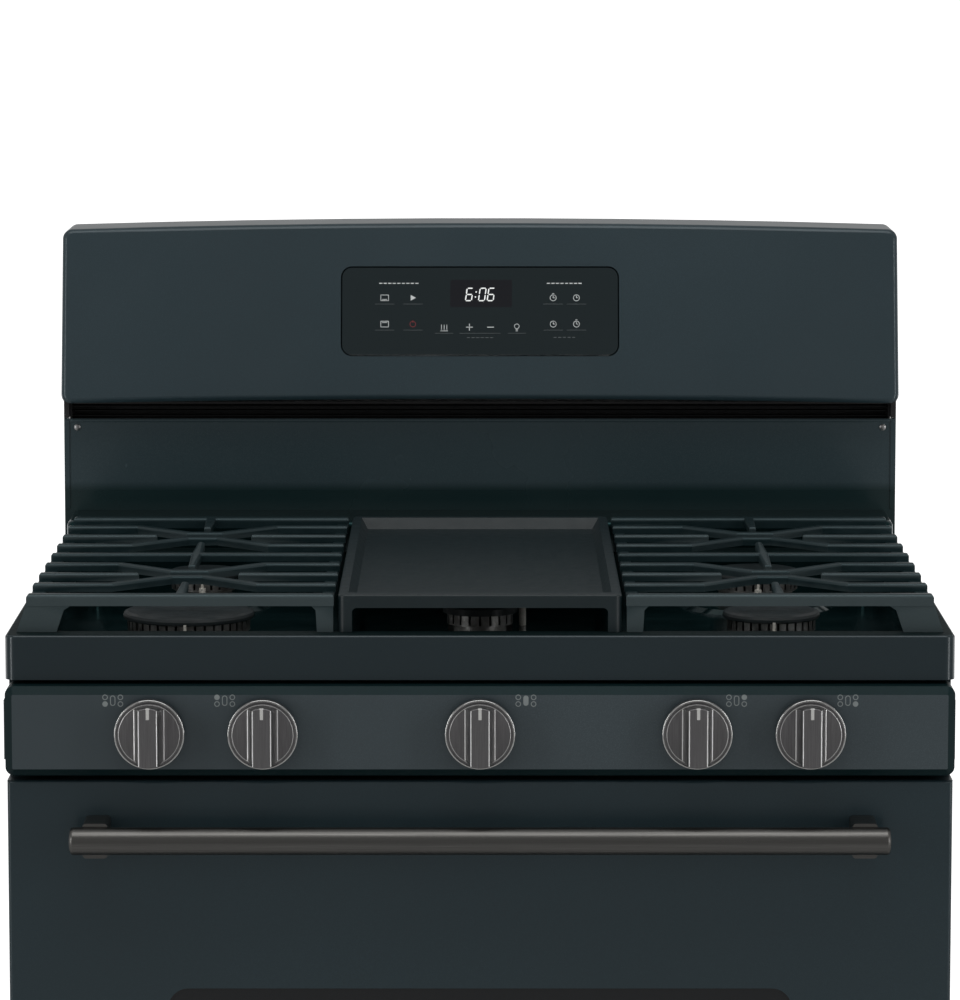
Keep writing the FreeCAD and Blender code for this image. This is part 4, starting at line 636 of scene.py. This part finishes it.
def make_knob(name):
    """A spun skirt and face, a polished rim, a tapered grip with painted highlights along its edges and
    round the face, and its white mark.
    """
    place, body = knob_place(name), "knob_" + name
    low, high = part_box(body)
    radius, deep = (high.x - low.x) / 2, high.y - low.y
    rim, groove, skirt = 1.8 * MM, 1.5 * MM, 9 * MM
    face, inner = radius - rim - groove, radius - rim
    make_knob_drum(name, place, body, radius, face, inner, rim, skirt)

    base, wide = 11.6 * MM, 7.2 * MM
    foot, top = skirt - 1.2 * MM, deep - 0.02 * MM
    reach = face - 0.7 * MM
    make_knob_grip(name, place, body, reach, base, wide, foot, top)

    # Thin rods of pale steel along both edges of the grip, at its foot and its top: painted highlights where
    # the bevels would catch light.
    bm = bmesh.new()
    for sign in (-1, 1):
        for half, w, thick in ((base, skirt + 0.1 * MM, 0.75 * MM), (wide, top - 0.4 * MM, 0.5 * MM)):
            rise = math.sqrt(reach ** 2 - half ** 2) - 0.6 * MM
            rod = [(sign * half + thick * math.cos(t), thick * math.sin(t)) for t in spin(8)]
            add_prism(bm, rod, lambda u, v, z, w=w: place(u, z, w + v), -rise, rise)
    finish_mesh("knob_edge_highlights_" + name, bm, HIGHLIGHT_STEEL, body)
    # A thin pale ring round the face's edge: a painted highlight.
    thick = 0.32 * MM
    bead = [(face - 0.5 * MM + thick * math.cos(t), skirt - 0.1 * MM + thick * math.sin(t)) for t in spin(8)]
    finish_mesh("knob_bead_highlights_" + name, lathe(bead, place), HIGHLIGHT_STEEL, body)

    bm = bmesh.new()
    half, start, end = 1.9 * MM, reach - 9.5 * MM, reach + 0.12 * MM
    add_prism(bm, [(-half, start), (half, start), (half, end), (-half, end)], place,
              top - 3.2 * MM, top + 0.02 * MM)
    finish_mesh("knob_mark_" + name, bm, MARK, body, bevel=0.7)


# ---------------------------------------------------------------- printed marks

def panel_place():
    """A function from (x, z, out) to a point on the control panel's front."""
    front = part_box("control_panel")[0].y
    return lambda u, v, w: Vector((u, front - w, v))


def make_burner_marks():
    """Beside each knob, a small plan of the five burners with its own filled in."""
    place = panel_place()
    du, dv = 6.1 * MM, 2.7 * MM
    spots = {"left_rear": (-du, dv), "left_front": (-du, -dv),
             "right_rear": (du, dv), "right_front": (du, -dv)}
    aside = {"left_front": -29.5, "left_rear": -30.5, "centre": 36.5,
             "right_rear": 31.5, "right_front": 30.0}
    above = 25.4 * MM
    thin, thick = 0.02 * MM, 0.12 * MM
    for name in KNOBS:
        low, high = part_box("knob_" + name)
        u, v = (low.x + high.x) / 2 + aside[name] * MM, (low.z + high.z) / 2 + above
        bm = bmesh.new()
        for spot, (across, up) in spots.items():
            centre = (u + across, v + up)
            if spot == name:
                add_prism(bm, circle(centre, 2.2 * MM), place, -thin, thick)
            else:
                add_ring(bm, centre, (1.55 * MM, 2.2 * MM), place, -thin, thick)
        if name == "centre":
            add_prism(bm, circle((u, v), 2.1 * MM, stretch=4 * MM), place, -thin, thick)
        else:
            add_ring(bm, (u, v), (1.5 * MM, 2.15 * MM), place, -thin, thick, stretch=4 * MM)
        finish_mesh("burner_marks_" + name, bm, INK, "root")


def glass_place():
    """A function from (across, up the slope, out) to a point on the touch glass, about its centre."""
    mesh = nodes["control_glass"].data
    faces = [f for f in mesh.polygons if f.normal.y < -0.5]
    area = sum(f.area for f in faces)
    centre = sum((f.center * f.area for f in faces), Vector()) / area
    out = sum((f.normal * f.area for f in faces), Vector()).normalized()
    across = Vector((1, 0, 0))
    up = out.cross(across).normalized()
    if up.z < 0:
        up = -up
    return lambda u, v, w: centre + across * u + up * v + out * w


# A print's underside and top, measured out from the touch glass.
THIN, PROUD = -0.05 * MM, 0.12 * MM


def glass_print(name, draw, material):
    """Makes one piece of what draw(bm, place) lays on the touch glass."""
    bm = bmesh.new()
    draw(bm, glass_place())
    finish_mesh(name, bm, material, "root")


def make_display():
    """The display window and its lit digits, on a slant."""
    screen = 0.03 * MM

    def window(bm, place):
        outline = round_rectangle(1.0 * MM, 16.3 * MM, 56 * MM, 25 * MM, 1.2 * MM)
        add_prism(bm, outline, place, THIN, 0.04 * MM)
    glass_print("display_window", window, WINDOW_BLACK)

    wide, tall, bar, slant, middle = 5.4 * MM, 11.4 * MM, 1.05 * MM, 0.14, 15.4 * MM
    lit = {"6": "afgedc", "0": "abcdef"}

    def segment(bm, place, u, v, du, dv):
        """A bar with pointed ends from (u, v) along (du, dv), leaned by the slant."""
        a, b = Vector((u, v)), Vector((u + du, v + dv))
        run = (b - a).normalized()
        side = Vector((-run.y, run.x)) * bar / 2
        gap = run * bar * 0.28
        a, b = a + gap, b - gap
        outline = [a, a + run * bar / 2 + side, b - run * bar / 2 + side, b,
                   b - run * bar / 2 - side, a + run * bar / 2 - side]
        add_prism(bm, [(p.x + p.y * slant, p.y) for p in outline],
                  lambda x, y, w: place(x, y + middle, w), screen, PROUD)

    def digits(bm, place):
        up, down = tall / 2, -tall / 2
        for digit, u in (("6", -12.4 * MM), ("0", -0.6 * MM), ("6", 7.3 * MM)):
            bars = {"a": (u, up, wide, 0), "g": (u, 0, wide, 0), "d": (u, down, wide, 0),
                    "f": (u, 0, 0, up), "e": (u, down, 0, up),
                    "b": (u + wide, 0, 0, up), "c": (u + wide, down, 0, up)}
            for key in lit[digit]:
                segment(bm, place, *bars[key])
        for v in (-2.3 * MM, 2.3 * MM):
            add_prism(bm, circle((-3.8 * MM + v * slant, v + middle), 0.7 * MM, 12), place, screen, PROUD)
    glass_print("display_digits", digits, LIT)


def bar_print(bm, place, u, v, wide, tall):
    """A flat printed bar about (u, v) on the touch glass."""
    add_prism(bm, rectangle(u, v, wide, tall), place, THIN, PROUD)


def make_key_marks():
    """Plain symbols for the touch keys, each over a thin underline."""
    line, bold = 0.55 * MM, 0.7 * MM

    def oven_box(bm, place, u, v, element):
        """A box with a bar in it, at element above its middle."""
        wide, tall = 7 * MM, 5.2 * MM
        for du, dv, w, t in ((0, tall / 2, wide, line), (0, -tall / 2, wide, line),
                             (-wide / 2, 0, line, tall), (wide / 2, 0, line, tall)):
            bar_print(bm, place, u + du, v + dv, w, t)
        bar_print(bm, place, u, v + element, 4.6 * MM, line)

    def bake(bm, place, u, v):
        oven_box(bm, place, u, v, -1.4 * MM)

    def broil(bm, place, u, v):
        oven_box(bm, place, u, v, 1.4 * MM)

    def start(bm, place, u, v):
        arrow = [(u - 2 * MM, v - 2.6 * MM), (u + 2.8 * MM, v), (u - 2 * MM, v + 2.6 * MM)]
        add_prism(bm, arrow, place, THIN, PROUD)

    def clock(bm, place, u, v):
        add_ring(bm, (u, v), (2.5 * MM, 3.0 * MM), place, THIN, PROUD)
        bar_print(bm, place, u, v + 0.9 * MM, line, 2.2 * MM)
        bar_print(bm, place, u + 0.8 * MM, v, 1.8 * MM, line)

    def timer(bm, place, u, v):
        clock(bm, place, u, v)
        bar_print(bm, place, u, v + 3.9 * MM, 2.0 * MM, line)

    def lamp(bm, place, u, v):
        add_ring(bm, (u, v + 0.8 * MM), (1.9 * MM, 2.4 * MM), place, THIN, PROUD)
        for dv in (-3.45 * MM, -2.35 * MM):
            bar_print(bm, place, u, v + dv, 2.2 * MM, line)

    def steam(bm, place, u, v):
        for du in (-2.4 * MM, 0, 2.4 * MM):
            bar_print(bm, place, u + du, v, line, 4.6 * MM)
        bar_print(bm, place, u, v - 3.4 * MM, 7 * MM, line)

    def minus(bm, place, u, v):
        bar_print(bm, place, u, v, 6.2 * MM, bold)

    def plus(bm, place, u, v):
        minus(bm, place, u, v)
        for dv in (1.9 * MM, -1.9 * MM):
            bar_print(bm, place, u, v + dv, bold, 2.5 * MM)

    upper, lower, middle = 12.3 * MM, -11.8 * MM, -14.6 * MM
    left, left_inner, right_inner, right = -86.5 * MM, -60.9 * MM, 66.4 * MM, 87.5 * MM
    keys = [
        (bake, left, upper), (start, left_inner, upper), (broil, left, lower),
        (timer, right_inner, upper), (clock, right, upper), (clock, right_inner, lower),
        (timer, right, lower), (steam, -32.5 * MM, middle), (lamp, 33.4 * MM, middle),
        (plus, -9.6 * MM, middle), (minus, 9.6 * MM, middle),
    ]

    def dashes(bm, place, u, v, count, pitch, wide, tall):
        """A row of short bars where a heading or a label would be."""
        for i in range(count):
            bar_print(bm, place, u + (i - (count - 1) / 2) * pitch, v, wide, tall)

    def symbols(bm, place):
        for draw, u, v in keys:
            draw(bm, place, u, v)
        for u, count in ((-73.7 * MM, 9), (76.5 * MM, 8)):
            dashes(bm, place, u, 25.6 * MM, count, 4.1 * MM, 2.9 * MM, 0.9 * MM)
    glass_print("key_symbols", symbols, INK_WHITE)

    def off(bm, place):
        add_ring(bm, (left_inner, lower), (2.3 * MM, 2.8 * MM), place, THIN, PROUD)
        stroke = rectangle(left_inner, lower + 2.4 * MM, line, 2.2 * MM)
        add_prism(bm, stroke, place, PROUD / 2, PROUD * 1.2)
    glass_print("key_off", off, INK_RED)

    def underlines(bm, place):
        thin = 0.35 * MM
        for u in (left, left_inner, right_inner, right):
            for v in (6.6 * MM, -17.3 * MM):
                bar_print(bm, place, u, v, 17.5 * MM, thin)
        for u, wide in ((-32.5, 16.5), (0, 37), (33.4, 16.5)):
            bar_print(bm, place, u * MM, -20.2 * MM, wide * MM, thin)
        dashes(bm, place, 0, -24.2 * MM, 6, 4.2 * MM, 2.8 * MM, bold)
        dashes(bm, place, 76.5 * MM, -24.0 * MM, 5, 4.2 * MM, 2.8 * MM, bold)
    glass_print("key_underlines", underlines, INK_DIM)


# ---------------------------------------------------------------- trim

def make_splash_trim():
    """The splash's folded side strips, its top bead, and the screws and brackets under the console."""
    low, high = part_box("backsplash")
    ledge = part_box("cooktop")[1].z
    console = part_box("console_shell")[0].z
    top = console - 16 * MM
    strip_wide, screw_inset, screw_drop = 5 * MM, 12 * MM, 8 * MM
    for sign, side in ((-1, "left"), (1, "right")):
        edge = sign * (high.x - 0.05 * MM)
        inner = edge - sign * strip_wide
        a, b = min(edge, inner), max(edge, inner)
        block("splash_strip_" + side, (a, low.y - 1.4 * MM, ledge + 1 * MM),
              (b, low.y + 0.5 * MM, top - 2 * MM), SPLASH_PAINT, "root", 0.5)
        block("vent_bracket_" + side, (a, low.y - 1 * MM, top + 1 * MM),
              (b, low.y + 9 * MM, console + 1 * MM), BLACK, "root", 0.6)
        screw_x = edge - sign * screw_inset
        place = lambda u, v, w, x=screw_x: Vector((x + u, low.y - w, top - screw_drop + v))
        profile = [(0, 0), (3 * MM, 0), (2.9 * MM, 0.9 * MM), (2.0 * MM, 1.5 * MM), (0, 1.7 * MM)]
        finish_mesh("splash_screw_" + side, lathe(profile, place, 32), PLAIN_STEEL, "root")
    block("splash_bead", (-high.x + 6 * MM, low.y - 1.1 * MM, top - 3.2 * MM),
          (high.x - 6 * MM, low.y + 0.5 * MM, top - 0.3 * MM), SPLASH_PAINT, "root", 0.8)


def make_vent_louvres():
    """Thin louvre blades across the outlet slot."""
    low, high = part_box("oven_vent")
    first, pitch, thick, inset = 13.5, 4.3, 0.9 * MM, 2.5 * MM
    for i in range(3):
        z = low.z + (first + pitch * i) * MM
        block(f"vent_blade_{i}", (low.x + inset, low.y + 3 * MM, z),
              (high.x - inset, low.y + 14 * MM, z + thick), VENT_BLACK, "root", 0.2)


def make_door_details():
    """The window's printed border behind the outer glass."""
    low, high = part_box("door_glass")
    middle = (low.z + high.z) / 2
    wide, tall = high.x - low.x, high.z - low.z
    inset, margin, thick = 2 * MM, 104 * MM, 0.3 * MM
    back = high.y + 0.15 * MM
    outer = round_rectangle(0.0, middle, wide - inset, tall - inset, 14 * MM)
    inner = round_rectangle(0.0, middle, wide - margin, tall - margin, 10 * MM)
    bm = bmesh.new()
    add_loops(bm, [[bm.verts.new((u, back + w, v)) for u, v in outline]
                   for outline, w in ((outer, 0), (outer, thick), (inner, thick), (inner, 0))])
    finish_mesh("door_glass_border", bm, BLACK, "door")


# The rear panel's cord hole and the gas inlet, at one height.
CORD_X, INLET_X, INLET_Z = -0.25, 0.25, 120 * MM


def make_cord_bush():
    """The strain-relief bush in the rear panel's cord hole."""
    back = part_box("rear_panel")[1].y
    place = lambda u, v, w: Vector((CORD_X + u, back + w, INLET_Z + v))
    profile = [(6.5 * MM, -9 * MM), (10.7 * MM, -9 * MM), (10.7 * MM, 0.05 * MM), (14 * MM, 0.05 * MM),
               (13.4 * MM, 1.6 * MM), (8 * MM, 1.8 * MM), (6.5 * MM, 1.2 * MM)]
    finish_mesh("cord_bush", lathe(profile, place, 48), BLACK, "root")


def make_inlet_nut():
    """A hexagonal lock nut round the gas inlet."""
    nut_radius, hole_radius, flats, per_flat = 16.5 * MM, 14.25 * MM, 6, 6
    steps = flats * per_flat
    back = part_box("gas_regulator")[1].y
    levels = (back - 9 * MM, back - 2.5 * MM)
    bm = bmesh.new()

    def loop(radius, count, y):
        return [bm.verts.new((INLET_X + radius * math.cos(t), y, INLET_Z + radius * math.sin(t)))
                for t in spin(count)]
    nut = [loop(nut_radius, flats, y) for y in levels]
    hole = [loop(hole_radius, steps, y) for y in levels]
    add_band(bm, *nut)
    add_band(bm, *hole)
    for k in range(flats):
        for side in (0, 1):
            arc = [hole[side][(per_flat * k + i) % steps] for i in range(per_flat + 1)]
            bm.faces.new([nut[side][k]] + arc + [nut[side][(k + 1) % flats]])
    finish_mesh("inlet_nut", bm, BRASS, "root")


# ---------------------------------------------------------------- studio

def make_floor():
    """A floor wide enough to reach past the picture's edge at every view."""
    bm = bmesh.new()
    reach = 120.0
    bm.faces.new([bm.verts.new((x, y, 0))
                  for x, y in ((-reach, -reach), (reach, -reach), (reach, reach), (-reach, reach))])
    mesh = bpy.data.meshes.new("studio_floor")
    bm.to_mesh(mesh)
    bm.free()
    mesh.materials.append(pale_floor())
    made = bpy.data.objects.new("studio_floor", mesh)
    bpy.context.scene.collection.objects.link(made)


def soft_box(name, place, aim, wide, tall, power):
    """A rectangular light at place, pointed at aim."""
    light = bpy.data.lights.new(name, "AREA")
    light.shape = "RECTANGLE"
    light.size, light.size_y = wide, tall
    light.energy = power
    made = bpy.data.objects.new(name, light)
    made.location = place
    made.rotation_euler = (Vector(aim) - Vector(place)).to_track_quat("-Z", "Y").to_euler()
    bpy.context.scene.collection.objects.link(made)


def make_studio():
    """A white sky, darker ahead of the range, with soft boxes above and beside."""
    dark_sky, light_sky = 0.26, 0.42
    strip_power, top_power = 18, 26
    world = bpy.data.worlds.new("studio")
    bpy.context.scene.world = world
    world.use_nodes = True
    tree = world.node_tree
    background = tree.nodes["Background"]
    background.inputs["Color"].default_value = (1, 1, 1, 1)
    coords = tree.nodes.new("ShaderNodeTexCoord")
    split = tree.nodes.new("ShaderNodeSeparateXYZ")
    tree.links.new(coords.outputs["Generated"], split.inputs["Vector"])
    ramp = tree.nodes.new("ShaderNodeMapRange")
    ramp.interpolation_type = "SMOOTHSTEP"
    for socket, amount in (("From Min", -0.9), ("From Max", 0.3),
                           ("To Min", dark_sky), ("To Max", light_sky)):
        ramp.inputs[socket].default_value = amount
    tree.links.new(split.outputs["Y"], ramp.inputs["Value"])
    tree.links.new(ramp.outputs["Result"], background.inputs["Strength"])
    soft_box("top_box", (0.0, -1.2, 3.6), (0, 0, 0.9), 3.0, 1.6, top_power)
    for name, x in (("left_strip", -2.6), ("right_strip", 2.6)):
        soft_box(name, (x, -2.0, 1.3), (0, -0.3, 0.9), 0.5, 2.2, strip_power)


def make_camera():
    """A long lens ahead of the range, looking down a little."""
    distance, height, tilt = 3.9802, 1.5321, 7.192
    camera = bpy.data.cameras.new("camera")
    camera.sensor_width = 36.0
    camera.lens = 181.8
    camera.clip_end = 400.0
    made = bpy.data.objects.new("camera", camera)
    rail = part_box("cooktop")[0].y
    made.location = (0.0, rail - distance, height)
    made.rotation_euler = (math.radians(90 - tilt), 0, 0)
    bpy.context.scene.collection.objects.link(made)
    bpy.context.scene.camera = made


refinish_all()
finish_panel()
finish_cooktop()
for knob in KNOBS:
    make_knob(knob)
make_burner_marks()
make_display()
make_key_marks()
make_splash_trim()
make_vent_louvres()
make_door_details()
make_cord_bush()
make_inlet_nut()
make_floor()
make_studio()
make_camera()
bpy.context.scene.view_settings.view_transform = "Standard"
